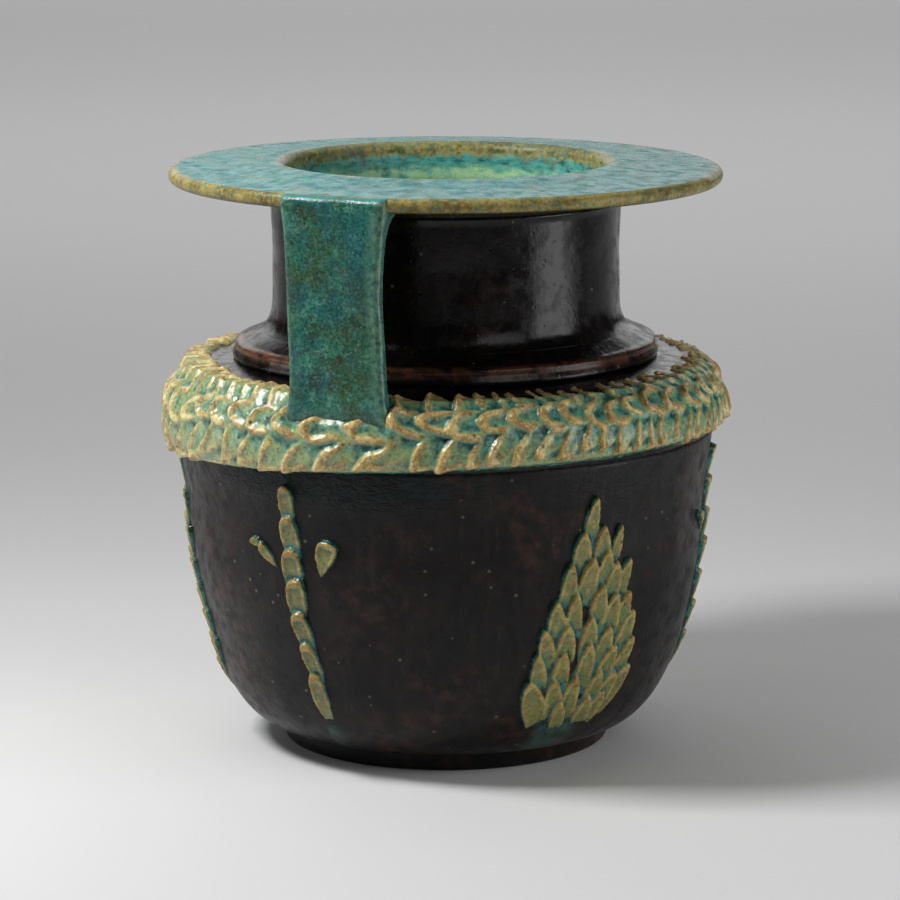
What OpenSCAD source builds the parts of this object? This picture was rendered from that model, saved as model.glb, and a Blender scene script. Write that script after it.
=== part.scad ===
// Two-handled faience jar on a ring foot: round belly, stepped shoulder, straight neck,
// broad disc rim, two strap handles, a leaf garland and cone and stalk reliefs.
// Millimetres. Z is up and the jar stands on z = 0. The handles lie on the -Y and +Y sides.

/* [Foot] */
// Outer radius of the ring foot where it meets the belly
foot_r = 54.5; // [50:0.5:57]
// How much the foot narrows towards the ground
foot_draft = 1; // [0:0.5:3]
// Height of the ring foot, which is also the depth of the hollow under the jar
foot_h = 7; // [5:0.5:10]
// Width of the standing ring
foot_ring_w = 10; // [7:0.5:16]
// Rounding of the edge that meets the ground
foot_round = 1.6; // [0.5:0.1:2.4]

/* [Belly] */
// Largest radius of the belly, at the seam under the garland
belly_r = 88; // [82:0.5:94]
// Height of the belly wall, from the foot to the seam
belly_h = 97; // [80:1:120]
// How far the upright part of the wall leans inwards on its way down
belly_lean = 3.2; // [0:0.2:8]
// Length of the upright part of the wall
belly_drop = 38; // [25:1:50]
// Step from the foot out to the start of the belly's curve
belly_step = 4.4; // [2:0.2:7]
// Outward run of the low curve above the foot
belly_run = 21; // [14:0.5:26]
// Rise of the low curve above the foot
belly_rise = 8; // [4:0.5:14]
// Thickness of the vessel wall
wall = 6; // [4:0.5:8]
// Thickness of the floor
floor_t = 7; // [5:0.5:10]

/* [Shoulder] */
// Height of the steep part of the shoulder, which carries the garland
shoulder_side_h = 22; // [18:0.5:26]
// How far that part leans inwards
shoulder_lean = 6.5; // [4:0.5:10]
// Rise of the flat part of the shoulder up to the collar
shoulder_rise = 3.7; // [1:0.1:7]
// Outer radius of the rounded collar at the foot of the neck
collar_r = 69.6; // [64:0.2:74]
// Height of the collar
collar_h = 7; // [4:0.5:10]
// How far the collar's rounded edge draws in at its top
collar_in = 3.4; // [1:0.2:6]

/* [Neck] */
// Outer radius of the neck at its narrowest
neck_r = 56.4; // [52:0.2:60]
// Height of the neck, from the collar to the rim
neck_h = 42.5; // [34:0.5:52]
// How far the neck spreads onto the collar
neck_spread = 9; // [5:0.5:11]
// Height over which it spreads
neck_spread_h = 12; // [8:0.5:18]
// Thickness of the neck wall
neck_wall = 6; // [4:0.5:8]

/* [Rim] */
// Outer radius of the disc rim
rim_r = 90; // [84:0.5:96]
// Thickness of the rim at its outer edge
rim_edge_t = 5; // [4:0.5:7]
// How much higher the rim stands at the mouth than at its edge
rim_crown = 2; // [0:0.2:4]
// Depth of the rounding between the neck and the rim's flat underside
rim_root = 5; // [3:0.5:8]
// Radius of the rounded lip inside the mouth
lip_round = 4; // [2:0.5:5]
// How far the mouth opens beyond the neck's bore
mouth_flare = 3; // [1:0.2:4]

/* [Handles] */
// Width of the strap at its waist
strap_waist_w = 29; // [20:0.5:36]
// Width of the strap where it joins the rim and the garland
strap_end_w = 34; // [24:0.5:42]
// Thickness of the strap at its waist
strap_t = 5.2; // [4:0.2:8]
// Extra thickness of the strap at its two ends
strap_root = 2.6; // [0:0.2:5]
// How far the strap's face stands out from the rim's edge, and from the garland coil below
strap_proud = 0.6; // [0:0.1:1.5]
// Rounding of the strap's long edges
strap_round = 1.8; // [0.6:0.2:2.4]
// How far down the garland the strap's foot reaches, below the coil's top
strap_foot = 8; // [5:0.5:11]

/* [Garland coil] */
// How far the coil reaches below the seam
coil_below = 2.4; // [1:0.2:4]
// Radius of the coil's rounded outer side
coil_round = 21; // [17:0.5:28]
// How far the coil's lower edge stands out from the wall
coil_lip = 3; // [2:0.2:5]

/* [Garland leaves] */
// Leaves in the upper row
upper_count = 68; // [48:1:80]
// Leaves in the middle row
middle_count = 60; // [44:1:72]
// Leaves in the lower row
lower_count = 64; // [46:1:76]
// Length of a leaf
leaf_l = 14; // [10:0.5:16]
// Width of a leaf
leaf_w = 8.2; // [5:0.2:9.6]
// Height of a leaf's raised tip above the coil
leaf_h = 2.4; // [1.4:0.1:3.4]
// Slant of the upper and lower leaves away from the garland's length
leaf_slant = 44; // [25:1:55]
// Gap between two rows and beside the straps
row_gap = 0.3; // [0.2:0.1:1]

/* [Cone reliefs] */
// Height of the cone's lowest point above the ground
cone_z = 18.5; // [14:0.5:24]
// Gap between the cone's tip and the garland's lower edge
cone_gap = 7.1; // [4:0.1:24]
// Greatest width of the cone
cone_w = 45; // [30:1:54]
// Width of the cone at its foot
cone_foot_w = 20; // [12:1:26]
// Height of the widest place, above the cone's foot
cone_wide_h = 22; // [14:1:30]
// Distance from one row of scales to the next
scale_pitch = 8.6; // [7:0.2:11]
// Distance between scales of one row
scale_gap = 8.4; // [7:0.2:11]
// Length of a scale
scale_l = 13.5; // [10:0.5:16]
// Width of a scale
scale_w = 10.8; // [6:0.2:12]
// Height of a scale's raised tip above the wall
scale_h = 2.6; // [1.4:0.1:3.4]
// Fan of the outermost scales
scale_fan = 24; // [0:1:35]

/* [Stalk reliefs] */
// Height of the stalk's lower end above the ground
stalk_z = 12; // [9:0.5:18]
// Gap between the stalk's tip and the garland's lower edge
stalk_gap = 3.6; // [1.6:0.1:20]
// Width of the stalk
stalk_w = 7; // [5:0.2:9]
// Height of the stalk's scales above the wall
stalk_h = 2.4; // [1.4:0.1:3.4]
// Scales along the stalk
stalk_count = 8; // [6:1:10]
// Length of a side bud
bud_l = 9.5; // [7:0.5:12]
// Width of a side bud
bud_w = 5; // [3:0.5:7]
// How far a bud's tip curls aside
bud_curl = 1.8; // [0:0.1:3]
// Distance of the buds from the stalk, along the wall
bud_out = 10.5; // [9:0.5:14]
// Distance of the buds' lower ends below the garland's lower edge
bud_drop = 29.6; // [20:0.2:36]

/* [Places] */
// Turn of the first stalk from the -Y handle, towards +X
stalk_turn = -12.5; // [-20:0.5:0]
// Turn of the first cone from the -Y handle, towards +X
cone_turn = 55; // [40:1:65]
// Turn from one motif to the next of its kind
motif_step = 120; // [120]
// Clearance between an applied relief and the wall it lies on
seat = 0.05; // [0.04:0.01:0.2]

/* [Leaf shape] */
// Depth of a leaf or scale below its own ground plane, before it is trimmed to what it lies on
leaf_sink = 2.6; // [1.6:0.2:3.4]

/* [Hidden] */

dark = [0.13, 0.11, 0.10];
teal = [0.20, 0.55, 0.52];
turquoise = [0.38, 0.68, 0.68];
ochre = [0.72, 0.66, 0.40];
olive = [0.62, 0.66, 0.36];

$fn = 128;
// Flats of the coarse turned forms that reliefs are trimmed with
trim_fn = 48;
trim_out = 1 / cos(180 / trim_fn);

// Levels
seam_z = foot_h + belly_h;
edge_z = seam_z + shoulder_side_h;
edge_r = belly_r - shoulder_lean;
collar_z = edge_z + shoulder_rise;
collar_foot_r = collar_r - 1;
neck_z = collar_z + collar_h;
rim_z = neck_z + neck_h;
disc_z = rim_z + rim_root;
rim_edge_z = disc_z + rim_edge_t;
crest_z = rim_edge_z + rim_crown;
bore_r = neck_r - neck_wall;
crest_r = bore_r + mouth_flare + lip_round;

function bezier(a, b, c, d, t) =
    pow(1 - t, 3) * a + 3 * t * pow(1 - t, 2) * b + 3 * t * t * (1 - t) * c + pow(t, 3) * d;
function curve(a, b, c, d, n) = [for (i = [0:n]) bezier(a, b, c, d, i / n)];
function arc(centre, r, from, to, n) =
    [for (i = [0:n]) let(t = from + (to - from) * i / n) centre + r * [cos(t), sin(t)]];
function flip(list) = [for (i = [len(list) - 1:-1:0]) list[i]];
function by_height(list) = [for (p = list) [p[1], p[0]]];
function moved_out(list, d) = [for (p = list) [(p[0] + d) * trim_out, p[1]]];

// Belly: outer and inner sides from the foot up to the seam
belly_outer = curve(
    [foot_r + belly_step, foot_h],
    [foot_r + belly_step + belly_run, foot_h + belly_rise],
    [belly_r - belly_lean, seam_z - belly_drop],
    [belly_r, seam_z], 14);
belly_inner = curve(
    [foot_r - 4, foot_h + floor_t],
    [foot_r + belly_step + belly_run - wall, foot_h + floor_t + belly_rise],
    [belly_r - belly_lean - wall, seam_z - belly_drop],
    [belly_r - wall, seam_z], 14);
belly_table = by_height(belly_outer);
function belly_at(z) = lookup(z, belly_table);
// Tilt of the wall's outward direction above the horizontal, negative where it faces down
function belly_tilt(z) = -atan((belly_at(z + 2) - belly_at(z - 2)) / 4);

// Garland coil: a round-backed band from under the seam up to the shoulder's edge
coil_low = [belly_at(seam_z - coil_below), seam_z - coil_below];
coil_top = [edge_r + 0.6, edge_z + 0.3];
coil_foot = [coil_low[0] + coil_lip, coil_low[1] + 1.6];
coil_chord = norm(coil_top - coil_foot);
coil_dir = (coil_top - coil_foot) / coil_chord;
coil_in = [-coil_dir[1], coil_dir[0]];
coil_centre = (coil_top + coil_foot) / 2 + coil_in * sqrt(pow(coil_round, 2) - pow(coil_chord / 2, 2));
function turn_of(p) = atan2(p[1] - coil_centre[1], p[0] - coil_centre[0]);
coil_from = turn_of(coil_foot);
coil_to = turn_of(coil_top);
coil_back = arc(coil_centre, coil_round, coil_from, coil_to, 5);
function coil_point(t) = coil_centre + coil_round * [cos(t), sin(t)];
// Middle of each leaf row and the borders between the rows, as turns about the coil's centre
row_turn = (coil_to - coil_from) / 3;
lower_top = coil_from + row_turn;
middle_top = coil_from + 2 * row_turn;
gap_turn = row_gap / coil_round * 90 / PI;

// Strap handle: lowest level, and the distance of its face from the axis at its head and at its foot
strap_low = coil_top[1] - strap_foot;
strap_head_face = rim_r + strap_proud;
strap_foot_face = coil_centre[0] + sqrt(pow(coil_round, 2) - pow(strap_low - coil_centre[1], 2)) + strap_proud;

// Heights that the reliefs take from the garland's lower edge above them
cone_h = coil_low[1] - cone_gap - cone_z;
stalk_l = coil_low[1] - stalk_gap - stalk_z;
bud_z = coil_low[1] - bud_drop;

module turned(points) {
    rotate_extrude($fn = 128) polygon(points);
}

module foot_ring() {
    ground_r = foot_r - foot_draft;
    color(dark)
        turned(concat(
            [[foot_r - foot_ring_w, foot_h], [foot_r - foot_ring_w, foot_round / 2]],
            [[foot_r - foot_ring_w + foot_round / 2, 0]],
            arc([ground_r - foot_round, foot_round], foot_round, -90, 0, 4),
            [[foot_r, foot_h]]));
}

module belly_wall() {
    color(dark)
        turned(concat(
            [[0, foot_h]],
            belly_outer,
            flip(belly_inner),
            [[0, foot_h + floor_t]]));
}

module shoulder() {
    under = curve(
        [belly_r - wall, seam_z],
        [belly_r - wall - 1, edge_z - wall],
        [edge_r - wall, edge_z - wall],
        [bore_r, collar_z - wall / 2], 8);
    color(dark)
        turned(concat(
            [[belly_r, seam_z], [edge_r, edge_z], [collar_foot_r, collar_z], [bore_r, collar_z]],
            flip(under)));
}

module collar() {
    top_r = collar_r - collar_in;
    color(dark)
        turned(concat(
            [[bore_r, collar_z], [collar_foot_r, collar_z]],
            [for (a = [-60:15:90]) [
                top_r + (collar_r - top_r) * cos(a),
                collar_z + collar_h / 2 + collar_h / 2 * sin(a)]],
            [[bore_r, neck_z]]));
}

module neck() {
    color(dark)
        turned(concat(
            [[bore_r, neck_z]],
            curve(
                [neck_r + neck_spread, neck_z],
                [neck_r + 0.35 * neck_spread, neck_z + 0.2 * neck_spread_h],
                [neck_r + 0.6, neck_z + 0.5 * neck_spread_h],
                [neck_r + 0.3, neck_z + neck_spread_h], 8),
            [[neck_r, rim_z - 0.4 * neck_h], [neck_r + 0.6, rim_z - 2], [neck_r + 1.4, rim_z]],
            [[bore_r, rim_z]]));
}

module rim_disc() {
    root_r = neck_r + 1.4;
    half = rim_edge_t / 2;
    lip_r = bore_r + mouth_flare;
    color(turquoise)
        turned(concat(
            [[bore_r, rim_z]],
            curve(
                [root_r, rim_z],
                [root_r + 1, rim_z + 0.6 * rim_root],
                [root_r + 3, disc_z],
                [root_r + 1.4 * rim_root, disc_z], 6),
            arc([rim_r - half, disc_z + half], half, -90, 75, 8),
            [[rim_r - rim_edge_t - 4, rim_edge_z + 0.15 * rim_crown]],
            [[crest_r + 4, crest_z - 0.15 * rim_crown], [crest_r, crest_z]],
            arc([crest_r, crest_z - lip_round], lip_round, 100, 180, 5),
            [[lip_r - 0.6, crest_z - lip_round - 2.4]],
            [[bore_r + 0.8, crest_z - lip_round - 5]]));
}

// Strap handle on the -Y side: rounded outlines joined one to the next
function bow(t) = pow(abs(2 * t - 1), 3);
function rounded(x, y, r) = [
    for (q = [0:3], a = [0:30:90])
        let(sx = (q == 0 || q == 3) ? 1 : -1, sy = q < 2 ? 1 : -1)
            [sx * (x - r), sy * (y - r)] + r * [cos(90 * q + a), sin(90 * q + a)]];
function strap_outline(t) =
    let(
        w = strap_waist_w + (strap_end_w - strap_waist_w) * bow(t),
        d = strap_t + strap_root * bow(t),
        face = strap_foot_face + (strap_head_face - strap_foot_face) * t,
        z = strap_low + (disc_z - strap_low) * t)
        [for (p = rounded(w / 2, d / 2, strap_round)) [p[0], p[1] + d / 2 - face, z]];
module strap() {
    steps = 10;
    difference() {
        for (i = [0:steps - 1])
            solid_around(concat(strap_outline(i / steps), strap_outline((i + 1) / steps)));
        coil_trim(seat);
        row_space(coil_from - 30, middle_top + gap_turn);
    }
}
module front_handle() {
    color(teal) strap();
}
module back_handle() {
    color(teal) rotate(180) strap();
}

module garland_coil() {
    color(turquoise)
        turned(concat(
            [[belly_r, seam_z], coil_low, [coil_low[0] + coil_lip * 0.7, coil_low[1]]],
            coil_back,
            [[edge_r, edge_z]]));
}

// What the garland's leaves and the straps lie on: the coil with the vessel behind it
module coil_trim(clear) {
    rotate_extrude($fn = trim_fn)
        polygon(concat(
            [[20, coil_low[1] - 4], [coil_low[0] + clear, coil_low[1] - 4]],
            [[coil_low[0] + coil_lip * 0.7, coil_low[1]] + clear * [1, -1]],
            moved_out(coil_back, clear),
            [[edge_r + clear, edge_z + clear], [collar_foot_r, collar_z + clear], [20, collar_z + clear]]));
}
// What the belly reliefs lie on
module belly_trim(clear) {
    rotate_extrude($fn = trim_fn)
        polygon(concat(
            [[0, foot_h]],
            moved_out(belly_outer, clear),
            [[0, seam_z]]));
}

// The convex solid around a list of corners
module solid_around(points) {
    hull()
        polyhedron(points, faces = [[for (i = [0:len(points) - 1]) i]]);
}

// A pointed leaf or scale lying on its own ground plane: root at the origin, tip along +X.
// It rises from its root, so that it laps over the root of the next one.
module leaf(l, w, h) {
    solid_around([
        [0, -0.36 * w, -leaf_sink], [0, 0.36 * w, -leaf_sink],
        [0.5 * l, -0.5 * w, -leaf_sink], [0.5 * l, 0.5 * w, -leaf_sink],
        [l, 0, -leaf_sink],
        [0.02 * l, 0, 0.25 * h],
        [0.5 * l, -0.4 * w, 0.5 * h], [0.5 * l, 0.4 * w, 0.5 * h],
        [0.8 * l, -0.24 * w, 0.8 * h], [0.8 * l, 0.24 * w, 0.8 * h], [0.93 * l, 0, h]]);
}

// Puts a leaf on the coil: its root at turn t about the coil's centre, slanted up or down
module on_coil(t, place, slant) {
    p = coil_point(t);
    rotate(place)
        translate([p[0], 0, p[1]])
            rotate([0, 90 - t, 0])
                rotate(-90 + slant)
                    children();
}

// Is a place round the coil clear of both straps?
function off_straps(place, r) =
    let(b = (place % 180 + 180) % 180)
        abs(b - 90) > asin(strap_end_w / 2 / r);
// The space that a strap's foot takes out of the row it covers
module strap_space() {
    for (side = [0, 180])
        rotate(side)
            translate([-strap_end_w / 2 - row_gap, -strap_foot_face - 6, strap_low - 6])
                cube([strap_end_w + 2 * row_gap, strap_t + strap_root + 12, disc_z - strap_low]);
}

// The ring of space between two turns about the coil's centre, which one leaf row may fill
module row_space(low, high) {
    reach = coil_round + 3 * leaf_h;
    rotate_extrude($fn = trim_fn)
        polygon([
            coil_centre + 4 * [cos(low), sin(low)],
            coil_centre + reach * [cos(low), sin(low)],
            coil_centre + 1.15 * reach * [cos((low + high) / 2), sin((low + high) / 2)],
            coil_centre + reach * [cos(high), sin(high)],
            coil_centre + 4 * [cos(high), sin(high)]]);
}
module garland_upper_leaves() {
    root = middle_top + gap_turn;
    color(ochre)
        difference() {
            for (i = [0:upper_count - 1])
                let(place = i * 360 / upper_count)
                    if (off_straps(place, coil_point(root)[0]))
                        on_coil(root, place, -leaf_slant)
                            leaf(leaf_l * 1.1, leaf_w, leaf_h);
            coil_trim(seat);
            row_space(coil_from - 30, root);
            strap_space();
        }
}

module garland_middle_leaves() {
    step = 360 / middle_count;
    width = 2 * coil_round * sin(row_turn / 2) - 2 * row_gap;
    color(ochre)
        difference() {
            for (i = [0:middle_count - 1])
                on_coil((lower_top + middle_top) / 2, i * step, 0)
                    leaf(leaf_l, width, leaf_h);
            coil_trim(seat);
        }
}

module garland_lower_leaves() {
    step = 360 / lower_count;
    root = lower_top - gap_turn;
    color(ochre)
        difference() {
            for (i = [0:lower_count - 1])
                on_coil(root, i * step, leaf_slant)
                    leaf(leaf_l * 0.92, leaf_w, leaf_h);
            coil_trim(seat);
            row_space(root, coil_to + 30);
        }
}

// Puts a relief on the belly: root at height z and distance x round the wall from the motif's line
module on_belly(x, z, lean) {
    r = belly_at(z);
    rotate(x / belly_r * 180 / PI)
        translate([r, 0, z])
            rotate([0, 90 - belly_tilt(z), 0])
                rotate(180 - lean)
                    children();
}

// Half width of the cone at a height above its foot
function cone_half(h) =
    h < cone_wide_h
        ? cone_foot_w / 2 + (cone_w - cone_foot_w) / 2 * sin(90 * h / cone_wide_h)
        : cone_w / 2 * sqrt(max(0, 1 - pow((h - cone_wide_h) / (cone_h - cone_wide_h), 1.7)));

module cone_scales() {
    rows = floor((cone_h - scale_l) / scale_pitch);
    difference() {
        for (j = [0:rows])
            let(
                h = cone_h - scale_l - (rows - j) * scale_pitch,
                reach = cone_half(h + 0.55 * scale_l) - 0.2 * scale_w,
                shift = (rows - j) % 2 == 0 ? 0 : 0.5,
                most = ceil(cone_w / scale_gap))
                for (i = [-most:most])
                    let(x = (i + shift) * scale_gap)
                        if (abs(x) <= max(reach, 0.1))
                            on_belly(x, cone_z + h, scale_fan * x / (cone_w / 2) * (1 - h / cone_h))
                                leaf(scale_l, scale_w, scale_h);
        belly_trim(seat);
    }
}

module stalk_scales() {
    pitch = stalk_l / (stalk_count + 0.6);
    difference() {
        for (i = [0:stalk_count - 1])
            on_belly(0.35 * sin(110 * i), stalk_z + pitch * i, 5 * sin(140 * i))
                leaf(1.5 * pitch, stalk_w * (i == 0 ? 0.8 : 1), stalk_h);
        belly_trim(seat);
    }
}

// A bud swells and narrows again along its length, and its tip curls aside
function bud_outline(t) =
    let(
        w = bud_w / 2 * (0.35 + 0.65 * sin(160 * t + 15)),
        h = stalk_h * (0.35 + 0.65 * sin(120 * t + 20)),
        x = bud_l * t,
        y = bud_curl * t * t)
        [[x, y - w, -leaf_sink], [x, y + w, -leaf_sink], [x, y - 0.6 * w, 0.7 * h],
         [x, y + 0.6 * w, 0.7 * h], [x, y, h]];
module bud() {
    steps = 4;
    for (i = [0:steps - 1])
        solid_around(concat(bud_outline(i / steps), bud_outline((i + 1) / steps)));
}
module buds() {
    difference() {
        union() {
            on_belly(bud_out, bud_z, 28) bud();
            on_belly(-bud_out, bud_z, -50) mirror([0, 1, 0]) bud();
        }
        belly_trim(seat);
    }
}

module cone_relief(i) {
    color(olive) rotate(-90 + cone_turn + i * motif_step) cone_scales();
}
module stalk_relief(i) {
    color(olive) rotate(-90 + stalk_turn + i * motif_step) stalk_scales();
}
module bud_pair(i) {
    color(olive) rotate(-90 + stalk_turn + i * motif_step) buds();
}

foot_ring();
belly_wall();
shoulder();
collar();
neck();
rim_disc();
front_handle();
back_handle();
garland_coil();
garland_upper_leaves();
garland_middle_leaves();
garland_lower_leaves();
cone_relief(0);  // cone_relief_1
cone_relief(1);  // cone_relief_2
cone_relief(2);  // cone_relief_3
stalk_relief(0);  // stalk_relief_1
stalk_relief(1);  // stalk_relief_2
stalk_relief(2);  // stalk_relief_3
bud_pair(0);  // bud_pair_1
bud_pair(1);  // bud_pair_2
bud_pair(2);  // bud_pair_3
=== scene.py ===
"""A two-handled faience jar with a leaf garland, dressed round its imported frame.

Sizes in the classes are millimetres and degrees unless a comment says otherwise, and meshes are made
in metres. The jar stands on z = 0, and its straps lie on the -Y and +Y sides.
"""

import logging
import math
from dataclasses import dataclass, field
from enum import Enum
from functools import reduce
from typing import Callable, Dict, List, Mapping, Optional, Sequence, Tuple, Union

import bpy
import numpy as np
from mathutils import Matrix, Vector
from mathutils.bvhtree import BVHTree


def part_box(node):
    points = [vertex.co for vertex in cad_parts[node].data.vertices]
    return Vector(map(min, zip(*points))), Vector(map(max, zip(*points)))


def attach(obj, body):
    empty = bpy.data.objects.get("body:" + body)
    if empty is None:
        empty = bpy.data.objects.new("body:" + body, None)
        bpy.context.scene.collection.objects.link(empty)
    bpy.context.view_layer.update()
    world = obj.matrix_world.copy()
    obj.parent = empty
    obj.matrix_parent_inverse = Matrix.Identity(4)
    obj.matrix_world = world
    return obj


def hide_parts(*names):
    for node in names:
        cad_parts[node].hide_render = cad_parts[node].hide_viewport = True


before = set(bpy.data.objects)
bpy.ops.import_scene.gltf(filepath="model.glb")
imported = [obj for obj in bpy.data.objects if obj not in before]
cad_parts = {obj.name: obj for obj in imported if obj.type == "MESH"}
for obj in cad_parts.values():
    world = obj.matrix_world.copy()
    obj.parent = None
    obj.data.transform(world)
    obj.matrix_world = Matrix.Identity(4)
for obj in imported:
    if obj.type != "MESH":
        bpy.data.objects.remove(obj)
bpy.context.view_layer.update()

logging.basicConfig(level=logging.INFO, format="%(message)s")
log = logging.getLogger("jar")

MM = 0.001
RIDGE_UNIT = 0.5
ROOT = "root"
Point = Tuple[float, float]
Colour = Tuple[float, float, float, float]
Socket = bpy.types.NodeSocket
Feed = Union[Socket, float, int, bool, Sequence[float], bpy.types.ID]


# Small helpers

def glaze(red: int, green: int, blue: int) -> Colour:
    """Turns a picture's colour into the linear colour of a shader.

    Args:
        red: Its red, from 0 to 255.
        green: Its green.
        blue: Its blue.

    Returns:
        The linear colour, opaque.
    """
    def linear(value: int) -> float:
        """Undoes the picture's gamma for one channel."""
        share = value / 255
        return share / 12.92 if share <= 0.04045 else ((share + 0.055) / 1.055) ** 2.4
    return (linear(red), linear(green), linear(blue), 1.0)


def smooth(value: np.ndarray) -> np.ndarray:
    """Rises gently from 0 to 1 as the value does."""
    share = np.clip(value, 0.0, 1.0)
    return share * share * (3 - 2 * share)


def bezier(a: Point, b: Point, c: Point, d: Point, steps: int) -> List[Point]:
    """Points along a cubic curve.

    Args:
        a: Where the curve starts.
        b: The handle that it starts towards.
        c: The handle that it ends from.
        d: Where the curve ends.
        steps: The number of steps.

    Returns:
        The points, both ends included.
    """
    points = []
    for i in range(steps + 1):
        t = i / steps
        weights = ((1 - t) ** 3, 3 * t * (1 - t) ** 2, 3 * t * t * (1 - t), t ** 3)
        points.append(tuple(sum(w * p[k] for w, p in zip(weights, (a, b, c, d))) for k in (0, 1)))
    return points


def arc(centre: Point, across: float, up: float, start: float, end: float, steps: int) -> List[Point]:
    """Points along part of an upright ellipse.

    Args:
        centre: Its centre.
        across: Its half width.
        up: Its half height.
        start: The angle where the arc starts.
        end: The angle where it ends.
        steps: The number of steps.

    Returns:
        The points, both ends included.
    """
    turns = [math.radians(start + (end - start) * i / steps) for i in range(steps + 1)]
    return [(centre[0] + across * math.cos(t), centre[1] + up * math.sin(t)) for t in turns]


def blur(values: np.ndarray, spread: float, wraps: bool) -> np.ndarray:
    """Smooths a grid of heights.

    Args:
        values: The grid, rows by columns.
        spread: The smoothing's reach in cells.
        wraps: Whether the columns close on themselves.

    Returns:
        The smoothed grid.
    """
    reach = max(1, int(math.ceil(3 * spread)))
    steps = np.arange(-reach, reach + 1)
    kernel = np.exp(-0.5 * (steps / spread) ** 2)
    kernel /= kernel.sum()
    sides = np.pad(values, ((0, 0), (reach, reach)), mode="wrap" if wraps else "edge")
    across = sum(k * sides[:, i:i + values.shape[1]] for i, k in enumerate(kernel))
    ends = np.pad(across, ((reach, reach), (0, 0)), mode="edge")
    return sum(k * ends[i:i + values.shape[0], :] for i, k in enumerate(kernel))


def about_axis(reach: Union[float, np.ndarray], turn: np.ndarray, height: np.ndarray) -> np.ndarray:
    """Places points about the jar's axis.

    Args:
        reach: Their distances from the axis.
        turn: Their directions, in radians.
        height: Their heights.

    Returns:
        Rows of x, y and z.
    """
    return np.column_stack([(reach * np.cos(turn)).ravel(), (reach * np.sin(turn)).ravel(), height.ravel()])


def facing(turn: np.ndarray, degrees: float) -> np.ndarray:
    """How far directions, in radians, face one in degrees: 1 towards it and 0 away from it."""
    return (1 + np.cos(turn - math.radians(degrees))) / 2


def store(mesh: bpy.types.Mesh, stored: Mapping[str, Sequence[float]]) -> None:
    """Stores numbers on a mesh's points.

    Args:
        mesh: The mesh.
        stored: The numbers by name, one for each point.
    """
    for title, values in stored.items():
        made = mesh.attributes.new(title, "FLOAT", "POINT")
        made.data.foreach_set("value", np.asarray(values, np.float32))


@dataclass(frozen=True)
class Waves:
    """A smooth, seeded unevenness over a surface, from waves that run in many directions."""

    seed: int
    shortest: float
    longest: float
    count: int = 14

    def at(self, points: np.ndarray) -> np.ndarray:
        """Works out the unevenness.

        Args:
            points: Rows of x, y and z.

        Returns:
            A number for each point, mostly between -1 and 1.
        """
        chance = np.random.default_rng(self.seed)
        total = np.zeros(len(points))
        for _ in range(self.count):
            length = self.shortest * (self.longest / self.shortest) ** chance.random()
            way = chance.normal(size=3)
            way *= 2 * math.pi / (length * np.linalg.norm(way))
            total += np.sin(points @ way + chance.random() * 2 * math.pi)
        return total / math.sqrt(self.count)


@dataclass(frozen=True)
class HandMade:
    """How the jar strays from a true turned form: a little oval, off its axis, and lower on one side."""

    oval: float = 0.12
    bulge: float = 0.12
    ripple: float = 0.08
    aside: float = 0.2
    waist: float = 1.1
    waist_z: float = 84.0
    pinch: float = 0.9
    pinch_z: float = 38.0
    lift: float = 0.010
    lift_turn: float = 22.0
    lift_z: float = 108.0
    lift_over: float = 46.0

    def settle(self, points: np.ndarray) -> np.ndarray:
        """Moves the points of a true form to where the hand-made jar has them.

        Args:
            points: Rows of x, y and z.

        Returns:
            The moved rows.
        """
        x, y, z = points.T
        turn = np.arctan2(y, x)
        reach = np.maximum(np.hypot(x, y), 1e-6)
        toward = turn - math.radians(self.lift_turn)
        belly = smooth((z - 8) / 30) * (1 - smooth((z - 104) / 20))
        out = (self.oval * np.sin(2 * turn + 0.6)
               + self.bulge * np.sin(3 * turn + 2.1 + z / 60)
               + self.ripple * np.sin(5 * turn + z / 25)
               + self.aside * belly * np.cos(toward)
               - self.waist * np.exp(-((z - self.waist_z) / 15) ** 2)
               - self.pinch * np.exp(-((z - self.pinch_z) / 20) ** 2) * smooth(-np.cos(toward)) * belly)
        grow = 1 + out * smooth(reach / 20) / reach
        rise = self.lift * reach * np.cos(toward) * np.exp(-((z - self.lift_z) / self.lift_over) ** 2)
        return np.column_stack([x * grow, y * grow, z + rise * smooth((178 - z) / 20) * smooth(z / 30)])


@dataclass(frozen=True)
class Levels:
    """The heights and radii that the pieces share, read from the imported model."""

    foot_r: float
    foot_h: float
    belly_r: float
    seam_z: float
    coil_top_z: float
    collar_z: float
    collar_r: float
    neck_z: float
    rim_z: float
    rim_r: float
    crest_z: float

    @classmethod
    def read(cls) -> "Levels":
        """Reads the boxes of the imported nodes.

        Returns:
            The levels.
        """
        high = {name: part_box(name)[1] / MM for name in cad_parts}
        return cls(
            foot_r=high["foot_ring"].x, foot_h=high["foot_ring"].z,
            belly_r=high["belly_wall"].x, seam_z=high["belly_wall"].z,
            coil_top_z=high["garland_coil"].z,
            collar_z=high["shoulder"].z, collar_r=high["collar"].x,
            neck_z=high["collar"].z,
            rim_z=high["neck"].z, rim_r=high["rim_disc"].x, crest_z=high["rim_disc"].z)


# Node trees

class Plug(Enum):
    """The kinds of socket that the node groups and trees use."""

    NUMBER = "NodeSocketFloat"
    COUNT = "NodeSocketInt"
    VECTOR = "NodeSocketVector"
    SHAPE = "NodeSocketGeometry"
    OBJECT = "NodeSocketObject"
    FINISH = "NodeSocketMaterial"


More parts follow.
